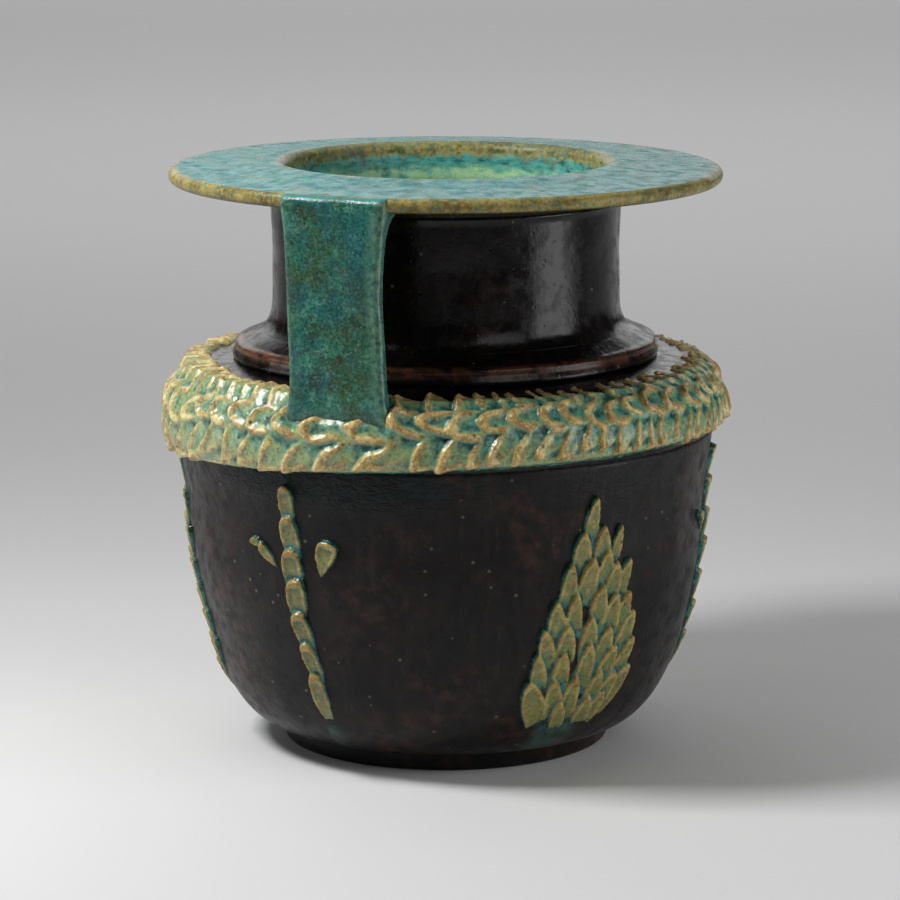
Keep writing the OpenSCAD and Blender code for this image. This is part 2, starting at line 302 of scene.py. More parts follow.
class Wiring:
    """Places nodes in one tree and joins them."""

    def __init__(self, tree: bpy.types.NodeTree) -> None:
        """Starts on a tree."""
        self.tree = tree

    def feed(self, socket: Socket, value: Feed) -> None:
        """Links a socket to another one, or sets its own value.

        Args:
            socket: The socket.
            value: The other socket, or the value.
        """
        if isinstance(value, bpy.types.NodeSocket):
            self.tree.links.new(value, socket)
        else:
            socket.default_value = value

    def add(self, kind: str, feeds: Optional[Mapping[Union[str, int], Feed]] = None,
            **settings: object) -> bpy.types.Node:
        """Adds one node.

        Args:
            kind: The node's type name.
            feeds: What goes into its inputs, by their name or place.
            **settings: The node's own properties.

        Returns:
            The node.
        """
        node = self.tree.nodes.new(kind)
        for name, value in settings.items():
            setattr(node, name, value)
        for key, value in (feeds or {}).items():
            self.feed(node.inputs[key], value)
        return node

    def math(self, operation: str, *values: Feed) -> Socket:
        """One step of arithmetic on numbers."""
        return self.add("ShaderNodeMath", dict(enumerate(values)), operation=operation).outputs[0]

    def total(self, *values: Feed) -> Socket:
        """The sum of two or more numbers."""
        return reduce(lambda made, value: self.math("ADD", made, value), values)

    def times(self, *values: Feed) -> Socket:
        """The product of two or more numbers."""
        return reduce(lambda made, value: self.math("MULTIPLY", made, value), values)

    def spread(self, value: Feed, low: Feed, high: Feed, to_low: float = 0.0, to_high: float = 1.0) -> Socket:
        """Maps a range of a number smoothly onto another range.

        Args:
            value: The number.
            low: Where the range starts.
            high: Where the range ends.
            to_low: What the start becomes.
            to_high: What the end becomes.

        Returns:
            The mapped number.
        """
        feeds = {0: value, 1: low, 2: high, 3: to_low, 4: to_high}
        return self.add("ShaderNodeMapRange", feeds, interpolation_type="SMOOTHSTEP").outputs[0]

    def vector(self, x: Feed, y: Feed, z: Feed) -> Socket:
        """A vector of three numbers."""
        return self.add("ShaderNodeCombineXYZ", {0: x, 1: y, 2: z}).outputs[0]

    def dressed(self, form: Socket, finish: Socket) -> Socket:
        """A form with real instances and a material, as every geometry tree ends."""
        real = self.add("GeometryNodeRealizeInstances", {"Geometry": form}).outputs[0]
        return self.add("GeometryNodeSetMaterial", {"Geometry": real, "Material": finish}).outputs[0]


class Shade(Wiring):
    """Wires the nodes of a finish."""

    def __init__(self, tree: bpy.types.NodeTree, place: Optional[Socket] = None) -> None:
        """Starts on a tree, at the piece's own coordinates or at those that are given."""
        super().__init__(tree)
        self.place = place or self.add("ShaderNodeTexCoord").outputs["Object"]

    def mix(self, share: Feed, first: Feed, second: Feed) -> Socket:
        """Mixes two colours.

        Args:
            share: How much of the second colour there is.
            first: The first colour.
            second: The second colour.

        Returns:
            The mixed colour.
        """
        return self.add("ShaderNodeMix", {0: share, 6: first, 7: second}, data_type="RGBA").outputs[2]

    def fade(self, value: Feed, low: float, high: float) -> Socket:
        """Falls smoothly from 1 to 0 over a range of a number."""
        return self.spread(value, low, high, 1.0, 0.0)

    def group(self, tree: bpy.types.NodeTree, **feeds: Feed) -> bpy.types.Node:
        """Places a node group with its own values.

        Args:
            tree: The group.
            **feeds: What goes into its inputs, by their names.

        Returns:
            The group's node.
        """
        node = self.add("ShaderNodeGroup", node_tree=tree)
        for name, value in feeds.items():
            self.feed(node.inputs[name.replace("_", " ")], value)
        return node

    def cloud(self, size: float, low: float, high: float, detail: float = 4.0, stretch: float = 1.0,
              warp: float = 0.0, shift: float = 0.0) -> Socket:
        """A soft cloudy mask.

        Args:
            size: The size of a cloud in mm.
            low: The noise below which the mask is 0.
            high: The noise above which it is 1.
            detail: How many finer layers it has.
            stretch: The frequency up the jar against that across it.
            warp: How much the clouds are stirred.
            shift: A distance in mm that gives other clouds.

        Returns:
            The mask.
        """
        return self.group(cloud_group(), Place=self.place, Size=size, Low=low, High=high, Detail=detail,
                          Stretch=stretch, Warp=warp, Shift=shift).outputs["Mask"]

    def specks(self, size: float, share: float, shift: float = 0.0) -> Socket:
        """A mask of small round specks, some mm apart, that are there in a share of the places."""
        node = self.group(speck_group(), Place=self.place, Size=size, Share=share, Shift=shift)
        return node.outputs["Mask"]

    def stored(self, name: str) -> Socket:
        """A number that the mesh stores on its points."""
        node = self.add("ShaderNodeAttribute", attribute_type="GEOMETRY", attribute_name=name)
        return node.outputs["Fac"]


def new_tree(name: str, kind: str, takes: Sequence[Tuple[str, Plug]], gives: Sequence[Tuple[str, Plug]]
             ) -> Tuple[bpy.types.NodeTree, Dict[str, Socket], bpy.types.Node]:
    """Makes an empty node group or tree.

    Args:
        name: Its name.
        kind: The tree's type name.
        takes: The names and kinds of its inputs.
        gives: The names and kinds of its outputs.

    Returns:
        The tree, its input sockets by name, and its output node.
    """
    tree = bpy.data.node_groups.new(name, kind)
    for in_out, sockets in (("INPUT", takes), ("OUTPUT", gives)):
        for title, plug in sockets:
            tree.interface.new_socket(name=title, in_out=in_out, socket_type=plug.value)
    inside = tree.nodes.new("NodeGroupInput")
    outside = tree.nodes.new("NodeGroupOutput")
    return tree, {title: inside.outputs[title] for title, _ in takes}, outside


def once(build: Callable[[], bpy.types.NodeTree]) -> Callable[[], bpy.types.NodeTree]:
    """Lets a tree be built at its first use and then shared.

    Args:
        build: What builds it.

    Returns:
        What gives the one tree.
    """
    made: List[bpy.types.NodeTree] = []

    def shared() -> bpy.types.NodeTree:
        """Builds the tree unless it is there.

        Returns:
            The one tree.
        """
        if not made:
            made.append(build())
        return made[0]
    return shared


@once
def cloud_group() -> bpy.types.NodeTree:
    """Builds the shared group for cloudy masks.

    Returns:
        The group.
    """
    numbers = ("Size", "Low", "High", "Detail", "Stretch", "Warp", "Shift")
    tree, get, out = new_tree("glaze_cloud", "ShaderNodeTree",
                              [("Place", Plug.VECTOR)] + [(n, Plug.NUMBER) for n in numbers],
                              [("Mask", Plug.NUMBER)])
    w = Shade(tree, get["Place"])
    moved = w.add("ShaderNodeVectorMath", {0: get["Place"], 1: w.times(get["Shift"], MM)},
                  operation="ADD").outputs[0]
    shaped = w.add("ShaderNodeVectorMath", {0: moved, 1: w.vector(1.0, 1.0, get["Stretch"])},
                   operation="MULTIPLY").outputs[0]
    noise = w.add("ShaderNodeTexNoise", {
        "Vector": shaped, "Scale": w.math("DIVIDE", 1 / MM, get["Size"]), "Detail": get["Detail"],
        "Roughness": 0.58, "Distortion": get["Warp"]})
    w.feed(out.inputs["Mask"], w.spread(noise.outputs[0], get["Low"], get["High"]))
    return tree


@once
def speck_group() -> bpy.types.NodeTree:
    """Builds the shared group for specks and pits.

    Returns:
        The group.
    """
    tree, get, out = new_tree("glaze_specks", "ShaderNodeTree",
                              [("Place", Plug.VECTOR), ("Size", Plug.NUMBER), ("Share", Plug.NUMBER),
                               ("Shift", Plug.NUMBER)], [("Mask", Plug.NUMBER)])
    w = Shade(tree, get["Place"])
    moved = w.add("ShaderNodeVectorMath", {0: get["Place"], 1: w.times(get["Shift"], MM)},
                  operation="ADD").outputs[0]
    cells = w.add("ShaderNodeTexVoronoi", {"Vector": moved, "Scale": w.math("DIVIDE", 1 / MM, get["Size"])})
    chance = w.add("ShaderNodeSeparateColor", {0: cells.outputs["Color"]})
    near = w.fade(cells.outputs["Distance"], 0.14, 0.34)
    there = w.math("LESS_THAN", chance.outputs[0], get["Share"])
    w.feed(out.inputs["Mask"], w.times(near, there))
    return tree


@once
def skin_group() -> bpy.types.NodeTree:
    """Builds the shared group for the height of a glaze's skin, in mm: soft swells, grain and pits.

    Returns:
        The group.
    """
    numbers = ("Swell", "Grain", "Pits")
    tree, get, out = new_tree("glaze_skin", "ShaderNodeTree",
                              [("Place", Plug.VECTOR)] + [(n, Plug.NUMBER) for n in numbers],
                              [("Height", Plug.NUMBER)])
    w = Shade(tree, get["Place"])
    swell = w.times(w.cloud(7.0, 0.2, 0.8, detail=2.0), get["Swell"])
    grain = w.times(w.cloud(0.9, 0.2, 0.8, detail=3.0), get["Grain"])
    pits = w.times(w.specks(2.2, 0.22), w.times(get["Pits"], -1.0))
    w.feed(out.inputs["Height"], w.total(swell, grain, pits))
    return tree


# Finishes

@dataclass(frozen=True)
class Finish:
    """What every glaze of the jar has: a name, its gloss, and how uneven its skin is in mm."""

    name: str
    rough_low: float
    rough_high: float
    swell: float = 0.10
    grain: float = 0.03
    pits: float = 0.05
    shine: float = 0.5

    def colour(self, w: Shade) -> Socket:
        """The glaze's colour over the surface."""
        raise NotImplementedError

    def wear(self, w: Shade) -> Socket:
        """Where the glaze is dull, from 0 to 1."""
        return w.cloud(5.0, 0.35, 0.75, detail=5.0)

    def height(self, w: Shade) -> Socket:
        """The height of the glaze's skin in mm."""
        made = w.group(skin_group(), Place=w.place, Swell=self.swell, Grain=self.grain, Pits=self.pits)
        return made.outputs["Height"]

    def material(self) -> bpy.types.Material:
        """Makes the material at its first use.

        Returns:
            The material.
        """
        if self.name in bpy.data.materials:
            return bpy.data.materials[self.name]
        made = bpy.data.materials.new(self.name)
        made.use_nodes = True
        tree = made.node_tree
        tree.nodes.clear()
        w = Shade(tree)
        bump = w.add("ShaderNodeBump", {"Height": self.height(w), "Distance": MM, "Strength": 1.0})
        shader = w.add("ShaderNodeBsdfPrincipled", {
            "Base Color": self.colour(w),
            "Roughness": w.spread(self.wear(w), 0.0, 1.0, self.rough_low, self.rough_high),
            "Normal": bump.outputs["Normal"], "IOR": 1.5, "Specular IOR Level": self.shine})
        w.add("ShaderNodeOutputMaterial", {"Surface": shader.outputs[0]})
        return made


@dataclass(frozen=True)
class DarkGlaze(Finish):
    """Brown-black glaze with rusty patches, pale specks and upright streaks."""

    black: Colour = glaze(7, 6, 6)
    brown: Colour = glaze(17, 13, 11)
    rust: Colour = glaze(66, 40, 30)
    dust: Colour = glaze(58, 50, 45)
    pale: Colour = glaze(120, 108, 84)
    blue: Colour = glaze(10, 26, 28)
    stain: Colour = glaze(62, 100, 90)
    wear_and_highlight: Colour = glaze(104, 64, 44)
    rust_share: float = 0.75
    dust_share: float = 0.45

    def colour(self, w: Shade) -> Socket:
        """Layers the browns, the rust, the dust in the streaks, the specks and the reliefs' run-off.

        Args:
            w: The material's wiring.

        Returns:
            The colour.
        """
        colour = w.mix(w.cloud(12.0, 0.40, 0.66, detail=6.0), self.black, self.brown)
        rust = w.times(w.cloud(38.0, 0.46, 0.66, detail=3.0), w.cloud(4.5, 0.42, 0.70, detail=6.0))
        colour = w.mix(w.times(rust, self.rust_share), colour, self.rust)
        streaks = w.times(w.cloud(2.6, 0.48, 0.78, detail=5.0, stretch=0.16),
                          w.cloud(22.0, 0.38, 0.64, shift=31.0))
        colour = w.mix(w.times(streaks, self.dust_share), colour, self.dust)
        colour = w.mix(w.times(w.specks(2.3, 0.025), 0.6), colour, self.pale)
        colour = w.mix(w.times(w.specks(0.7, 0.12, shift=7.0), 0.35), colour, self.dust)
        # The bead's rust-brown wear: partly real wear, partly a painted highlight on the lit side.
        wear_and_highlight = w.times(w.stored("wear_and_highlight"), w.cloud(5.0, 0.30, 0.70, detail=7.0, shift=50.0))
        colour = w.mix(wear_and_highlight, colour, self.wear_and_highlight)
        run = w.times(w.stored("run"), w.cloud(5.0, 0.25, 0.70, detail=6.0))
        colour = w.mix(run, colour, self.stain)
        under = w.times(w.stored("under"), w.cloud(9.0, 0.30, 0.62, detail=4.0, shift=12.0))
        return w.mix(under, colour, self.blue)

    def height(self, w: Shade) -> Socket:
        """Adds the wrinkles of the crawled glaze under the garland to the common skin.

        Args:
            w: The material's wiring.

        Returns:
            The height in mm.
        """
        wrinkle = w.times(w.cloud(3.4, 0.30, 0.62, detail=5.0, stretch=1.9, warp=1.2), 0.42)
        wrinkle = w.times(wrinkle, w.stored("under"))
        return w.total(super().height(w), wrinkle)


@dataclass(frozen=True)
class RimGlaze(Finish):
    """Mottled turquoise that has worn and stained to ochre along the rim's edge and the lip."""

    turquoise: Colour = glaze(24, 116, 116)
    milky: Colour = glaze(66, 148, 144)
    deep: Colour = glaze(10, 88, 92)
    ochre: Colour = glaze(176, 156, 88)
    rust: Colour = glaze(104, 74, 32)
    olive: Colour = glaze(84, 96, 44)
    pale: Colour = glaze(170, 212, 160)
    bright: Colour = glaze(92, 182, 172)
    shade: Colour = glaze(20, 18, 11)
    under: float = 184.4
    edge: float = 87.6
    edge_soft: float = 1.2
    lip: float = 54.2
    lip_soft: float = 2.0
    mouth_top: float = 188.6
    wander: float = 3.4

    def colour(self, w: Shade) -> Socket:
        """Layers the blues, then the stains by their distance from the axis and their height.

        Args:
            w: The material's wiring.

        Returns:
            The colour.
        """
        colour = w.mix(w.cloud(7.0, 0.38, 0.64, detail=6.0), self.turquoise, self.milky)
        colour = w.mix(w.times(w.cloud(2.6, 0.48, 0.72, detail=5.0, shift=9.0), 0.8), colour, self.deep)
        spread = w.times(w.cloud(16.0, 0.47, 0.68, detail=5.0, shift=20.0),
                         w.cloud(2.0, 0.40, 0.66, detail=5.0))
        colour = w.mix(w.times(spread, 0.35), colour, self.ochre)
        x, y, z = w.add("ShaderNodeSeparateXYZ", {0: w.place}).outputs
        wander = w.math("SUBTRACT", w.cloud(3.2, 0.2, 0.8, detail=5.0, shift=3.0), 0.5)
        wander = w.times(wander, self.wander * MM)
        reach = w.total(w.math("SQRT", w.total(w.times(x, x), w.times(y, y))), wander)
        colour = w.mix(self.stained(w, reach), colour, self.stain(w))
        inner = w.fade(reach, (self.lip - 2.6) * MM, (self.lip - 1.2) * MM)
        colour = w.mix(inner, colour, self.mouth(w, w.total(z, wander)))
        grain = w.times(w.cloud(0.7, 0.44, 0.66, detail=3.0, shift=70.0), 0.35)
        colour = w.mix(grain, colour, w.mix(0.5, colour, self.deep))
        within = w.fade(reach, (self.lip + 1.0) * MM, (self.lip + 3.0) * MM)
        below = w.times(w.fade(z, (self.under - 0.1) * MM, (self.under + 1.1) * MM),
                        w.math("SUBTRACT", 1.0, within))
        return w.mix(below, colour, self.shade)

    def stained(self, w: Shade, reach: Socket) -> Socket:
        """Where the disc's edge and the lip are stained.

        Args:
            w: The material's wiring.
            reach: The distance from the axis.

        Returns:
            The mask.
        """
        edge = w.spread(reach, (self.edge - self.edge_soft) * MM, (self.edge + self.edge_soft) * MM)
        lip = w.times(
            w.spread(reach, (self.lip - 1.6 * self.lip_soft) * MM, (self.lip - 0.6 * self.lip_soft) * MM),
            w.fade(reach, self.lip * MM, (self.lip + self.lip_soft) * MM))
        there = w.math("MAXIMUM", edge, w.times(lip, 0.8))
        return w.times(there, w.cloud(1.7, 0.24, 0.52, detail=4.0))

    def stain(self, w: Shade) -> Socket:
        """Mottles the ochre of the stains with rust and olive.

        Args:
            w: The material's wiring.

        Returns:
            The colour.
        """
        patch = w.times(w.cloud(9.0, 0.36, 0.64, detail=3.0, shift=40.0),
                        w.cloud(1.4, 0.30, 0.62, detail=5.0, shift=41.0))
        stain = w.mix(w.times(patch, 0.9), self.ochre, self.rust)
        return w.mix(w.times(w.cloud(0.9, 0.46, 0.66, detail=3.0, shift=42.0), 0.6), stain, self.olive)

    def mouth(self, w: Shade, height: Socket) -> Socket:
        """Bands the mouth's inside: olive at the lip, then bright blue and pale green, darkening to deep blue
        further down as painted shade.

        Args:
            w: The material's wiring.
            height: The height above the ground.

        Returns:
            The colour.
        """
        top = self.mouth_top
        glow = w.mix(w.cloud(5.0, 0.36, 0.74, detail=4.0, stretch=3.0, shift=60.0), self.bright, self.deep)
        band = w.total(height, w.times(w.cloud(7.0, 0.2, 0.8, stretch=3.0, shift=61.0), 3.0 * MM))
        washed = w.times(w.fade(band, (top - 7.4) * MM, (top - 2.6) * MM),
                         w.cloud(5.0, 0.28, 0.50, detail=4.0, shift=62.0))
        glow = w.mix(washed, glow, self.pale)
        # Deeper inside the neck the blue darkens: painted shade.
        glow = w.mix(w.fade(band, (top - 40) * MM, (top - 16) * MM), glow, self.deep)
        crest = w.mix(w.cloud(2.4, 0.36, 0.58, detail=4.0, shift=63.0), self.olive, self.ochre)
        return w.mix(w.spread(height, (top - 3.4) * MM, (top - 0.6) * MM), glow, crest)


@dataclass(frozen=True)
class StrapGlaze(Finish):
    """Teal glaze with olive and brown mottling, as on the straps."""

    teal: Colour = glaze(50, 124, 100)
    deep: Colour = glaze(16, 96, 100)
    olive: Colour = glaze(64, 88, 44)
    brown: Colour = glaze(46, 44, 22)
    edge: Colour = glaze(96, 138, 112)
    light: Colour = glaze(116, 176, 150)
    top: Colour = glaze(64, 138, 132)
    dark: Colour = glaze(12, 46, 42)

    def colour(self, w: Shade) -> Socket:
        """Layers the teals and the mottling, and pales the long edges: worn glaze, stronger along the right
        edge as a painted highlight line.

        Args:
            w: The material's wiring.

        Returns:
            The colour.
        """
        colour = w.mix(w.cloud(10.0, 0.38, 0.62, detail=6.0), self.teal, self.deep)
        olive = w.times(w.cloud(13.0, 0.42, 0.62, detail=4.0, shift=14.0),
                        w.cloud(1.2, 0.32, 0.60, detail=5.0))
        colour = w.mix(w.times(w.cloud(2.6, 0.46, 0.66, detail=5.0, shift=81.0), 0.45), colour, self.light)
        colour = w.mix(w.times(olive, 0.95), colour, self.olive)
        brown = w.times(w.cloud(8.0, 0.48, 0.64, detail=5.0, shift=27.0),
                        w.cloud(1.0, 0.38, 0.60, detail=4.0, shift=5.0))
        colour = w.mix(w.times(brown, 0.95), colour, self.brown)
        colour = w.mix(w.times(w.cloud(24.0, 0.50, 0.62, detail=3.0, shift=71.0), 0.5), colour, self.deep)
        colour = w.mix(w.times(w.cloud(0.9, 0.44, 0.60, detail=3.0, shift=33.0), 0.6), colour, self.dark)
        colour = w.mix(w.times(w.cloud(0.8, 0.52, 0.68, detail=3.0, shift=44.0), 0.25), colour, self.light)
        # Pale long edges: worn glaze, and a painted highlight line on the right edge.
        colour = w.mix(w.times(w.stored("edge"), w.cloud(2.2, 0.34, 0.62, detail=5.0)), colour, self.edge)
        return w.mix(w.times(w.stored("head"), w.cloud(2.0, 0.20, 0.50, detail=4.0)), colour, self.top)


@dataclass(frozen=True)
class LeafGlaze(Finish):
    """Glaze that runs off the raised ridges of leaves and scales, and pools in their hollows."""

    hollow: Colour = glaze(20, 84, 86)
    pool: Colour = glaze(92, 156, 136)
    flank: Colour = glaze(150, 174, 122)
    ridge: Colour = glaze(204, 166, 84)
    cream: Colour = glaze(238, 226, 166)
    rust: Colour = glaze(142, 92, 44)
    dark: Colour = glaze(16, 44, 42)
    speck: Colour = glaze(38, 44, 34)
    hollow_at: float = -0.85
    flank_at: float = -0.10
    ridge_at: float = 0.66
    shade_at: float = -1.9
    cream_share: float = 0.5
    rust_share: float = 0.7
    foot_share: float = 0.6

    def colour(self, w: Shade) -> Socket:
        """Follows the stored ridges, stirred by fine clouds.

        Args:
            w: The material's wiring.

        Returns:
            The colour.
        """
        stir = w.times(w.math("SUBTRACT", w.cloud(2.2, 0.2, 0.8, detail=4.0), 0.5), 0.6)
        high = w.total(w.stored("ridge"), stir)
        pooled = w.mix(w.cloud(3.6, 0.38, 0.60, detail=5.0, shift=8.0), self.hollow, self.pool)
        colour = w.mix(w.spread(high, self.hollow_at, self.flank_at), pooled, self.flank)
        light = w.times(w.cloud(6.0, 0.36, 0.62, detail=4.0, shift=17.0), self.cream_share)
        # The stored pale share is painted light towards the key lamp; the clouds are random cream patches.
        light = w.math("MAXIMUM", light, w.stored("pale"))
        # A cream wash over the whole skin on the lamp's side: painted light.
        colour = w.mix(w.times(w.stored("pale"), 0.15), colour, self.cream)
        crest = w.mix(light, self.ridge, self.cream)
        rusty = w.times(w.cloud(4.0, 0.42, 0.62, detail=6.0, shift=23.0), self.rust_share)
        crest = w.mix(rusty, crest, self.rust)
        foot = w.times(w.spread(high, self.flank_at - 0.1, self.flank_at + 0.15),
                       w.fade(high, self.flank_at + 0.25, self.flank_at + 0.5))
        foot = w.times(foot, w.cloud(3.0, 0.40, 0.62, detail=5.0, shift=29.0))
        colour = w.mix(w.spread(high, self.flank_at, self.ridge_at), colour, crest)
        colour = w.mix(w.times(foot, self.foot_share), colour, self.rust)
        colour = w.mix(w.times(w.cloud(1.0, 0.48, 0.66, detail=3.0, shift=35.0), 0.4), colour, self.dark)
        glint = w.times(w.cloud(0.9, 0.50, 0.66, detail=3.0, shift=36.0), w.spread(high, 0.1, 0.8))
        colour = w.mix(w.times(glint, 0.5), colour, self.cream)
        # Painted shade where the stored ridge falls lowest: the sunk skirts and gaps round the motifs'
        # scales, and the deepest hollows.
        colour = w.mix(w.fade(w.stored("ridge"), self.shade_at, self.shade_at + 0.9), colour, self.dark)
        return w.mix(w.times(w.specks(2.6, 0.10, shift=2.0), 0.7), colour, self.speck)


# Meshes

class Piece:
    """Makes finished objects from points and faces."""

    @staticmethod
    def mesh(name: str, points: np.ndarray, faces: np.ndarray,
             stored: Mapping[str, np.ndarray]) -> bpy.types.Mesh:
        """Makes a smooth mesh with its faces outwards.

        Args:
            name: The mesh's name.
            points: Its points in mm.
            faces: Rows of four point numbers.
            stored: Numbers on the points, by name.

        Returns:
            The mesh, in metres.
        """
        corners = points[faces]
        volume = np.einsum("ij,ij->i", corners[:, 0], np.cross(corners[:, 1], corners[:, 2])).sum()
        volume += np.einsum("ij,ij->i", corners[:, 0], np.cross(corners[:, 2], corners[:, 3])).sum()
        if volume < 0:
            faces = faces[:, ::-1]
        made = bpy.data.meshes.new(name)
        made.from_pydata((points * MM).tolist(), [], faces.tolist())
        store(made, stored)
        made.shade_smooth()
        made.update()
        return made

    @staticmethod
    def finish(name: str, mesh: bpy.types.Mesh, finishes: Sequence[Finish], nodes: Sequence[str],
               slot: str) -> bpy.types.Object:
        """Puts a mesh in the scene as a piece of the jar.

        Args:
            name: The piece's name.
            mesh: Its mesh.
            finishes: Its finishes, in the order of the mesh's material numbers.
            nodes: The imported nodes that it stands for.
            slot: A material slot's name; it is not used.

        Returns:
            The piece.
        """
        # New materials set every face's number back, so the numbers are kept and put on again
        numbers = np.zeros(len(mesh.polygons), np.int32)
        mesh.polygons.foreach_get("material_index", numbers)
        mesh.materials.clear()
        for finish in finishes:
            mesh.materials.append(finish.material())
        mesh.polygons.foreach_set("material_index", np.minimum(numbers, len(finishes) - 1))
        piece = bpy.data.objects.new(name, mesh)
        bpy.context.scene.collection.objects.link(piece)
        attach(piece, ROOT)
        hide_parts(*nodes)
        log.info("%s: %d faces", name, len(mesh.polygons))
        return piece


def grown(tree: bpy.types.NodeTree, base: bpy.types.Mesh, sizes: Mapping[str, Feed]) -> bpy.types.Mesh:
    """Lets a geometry tree grow a mesh from another.

    Args:
        tree: The tree, whose first input is the base.
        base: The mesh that it starts from.
        sizes: Its other inputs by name.

    Returns:
        The grown mesh, plain and with no modifier.
    """
    carrier = bpy.data.objects.new("carrier", base)
    bpy.context.scene.collection.objects.link(carrier)
    modifier = carrier.modifiers.new("grow", "NODES")
    modifier.node_group = tree
    for item in tree.interface.items_tree:
        if item.in_out == "INPUT" and item.name in sizes:
            modifier[item.identifier] = sizes[item.name]
    carrier.update_tag()
    seen = carrier.evaluated_get(bpy.context.evaluated_depsgraph_get())
    made = bpy.data.meshes.new_from_object(seen)
    carrier.modifiers.remove(modifier)
    bpy.data.objects.remove(carrier)
    return made


# Turned pieces

@once
def turned_tree() -> bpy.types.NodeTree:
    """Builds the tree that turns a chain of profile points about the jar's axis.

    Returns:
        The tree.
    """
    tree, get, out = new_tree("turned_form", "GeometryNodeTree",
                              [("Profile", Plug.SHAPE), ("Points", Plug.COUNT), ("Around", Plug.COUNT),
                               ("Finish", Plug.FINISH)], [("Form", Plug.SHAPE)])
    w = Wiring(tree)
    grid = w.add("GeometryNodeMeshGrid", {
        "Vertices X": w.total(get["Around"], 1), "Vertices Y": get["Points"],
        "Size X": get["Around"], "Size Y": w.math("SUBTRACT", get["Points"], 1)})
    spot = w.add("ShaderNodeSeparateXYZ", {0: w.add("GeometryNodeInputPosition").outputs[0]})
    half_around = w.times(get["Around"], 0.5)
    half_points = w.times(w.math("SUBTRACT", get["Points"], 1), 0.5)
    step = w.math("ROUND", w.total(spot.outputs[0], half_around))
    number = w.math("ROUND", w.total(spot.outputs[1], half_points))

    def sampled(kind: str, value: Socket) -> Socket:
        """Reads a value from the profile point with this row's number.

        Args:
            kind: The value's data type.
            value: The value.

        Returns:
            The value at that point.
        """
        node = w.add("GeometryNodeSampleIndex", data_type=kind, domain="POINT")
        w.feed(node.inputs["Geometry"], get["Profile"])
        w.feed(node.inputs["Value"], value)
        w.feed(node.inputs["Index"], number)
        return node.outputs[0]

    place = sampled("FLOAT_VECTOR", w.add("GeometryNodeInputPosition").outputs[0])
    inside = sampled("FLOAT", w.add("GeometryNodeInputNamedAttribute", {"Name": "inside"},
                                    data_type="FLOAT").outputs[0])
    axes = w.add("ShaderNodeSeparateXYZ", {0: place})
    turn = w.math("DIVIDE", w.times(step, 2 * math.pi), get["Around"])
    moved = w.vector(w.times(axes.outputs[0], w.math("COSINE", turn)),
                     w.times(axes.outputs[0], w.math("SINE", turn)), axes.outputs[2])
    kept = w.add("GeometryNodeStoreNamedAttribute", {
        "Geometry": grid.outputs[0], "Name": "inside", "Value": inside}, data_type="FLOAT", domain="POINT")
    set_place = w.add("GeometryNodeSetPosition", {"Geometry": kept.outputs[0], "Position": moved})
    merged = w.add("GeometryNodeMergeByDistance", {"Geometry": set_place.outputs[0], "Distance": 1e-6})
    w.feed(out.inputs["Form"], w.dressed(merged.outputs[0], get["Finish"]))
    return tree


class Outline:
    """A chain of profile points, as distances from the axis and heights."""

    def __init__(self, step: float = 1.6) -> None:
        """Starts empty.

        Args:
            step: The longest step allowed between two points.
        """
        self.step = step
        self.points: List[Point] = []
        self.inside: List[float] = []

    def add(self, points: Sequence[Point], inside: bool = False) -> "Outline":
        """Adds points to the chain.

        Args:
            points: The points.
            inside: Whether they lie inside the jar.

        Returns:
            The outline, for the next call.
        """
        for point in points:
            if self.points:
                last = self.points[-1]
                parts = max(1, math.ceil(math.dist(last, point) / self.step))
                for i in range(1, parts):
                    share = i / parts
                    self.points.append((last[0] + (point[0] - last[0]) * share,
                                        last[1] + (point[1] - last[1]) * share))
                    self.inside.append(float(inside))
            self.points.append(point)
            self.inside.append(float(inside))
        return self

    def closed(self) -> "Outline":
        """Brings the chain back to where it started."""
        return self.add(self.points[:1])


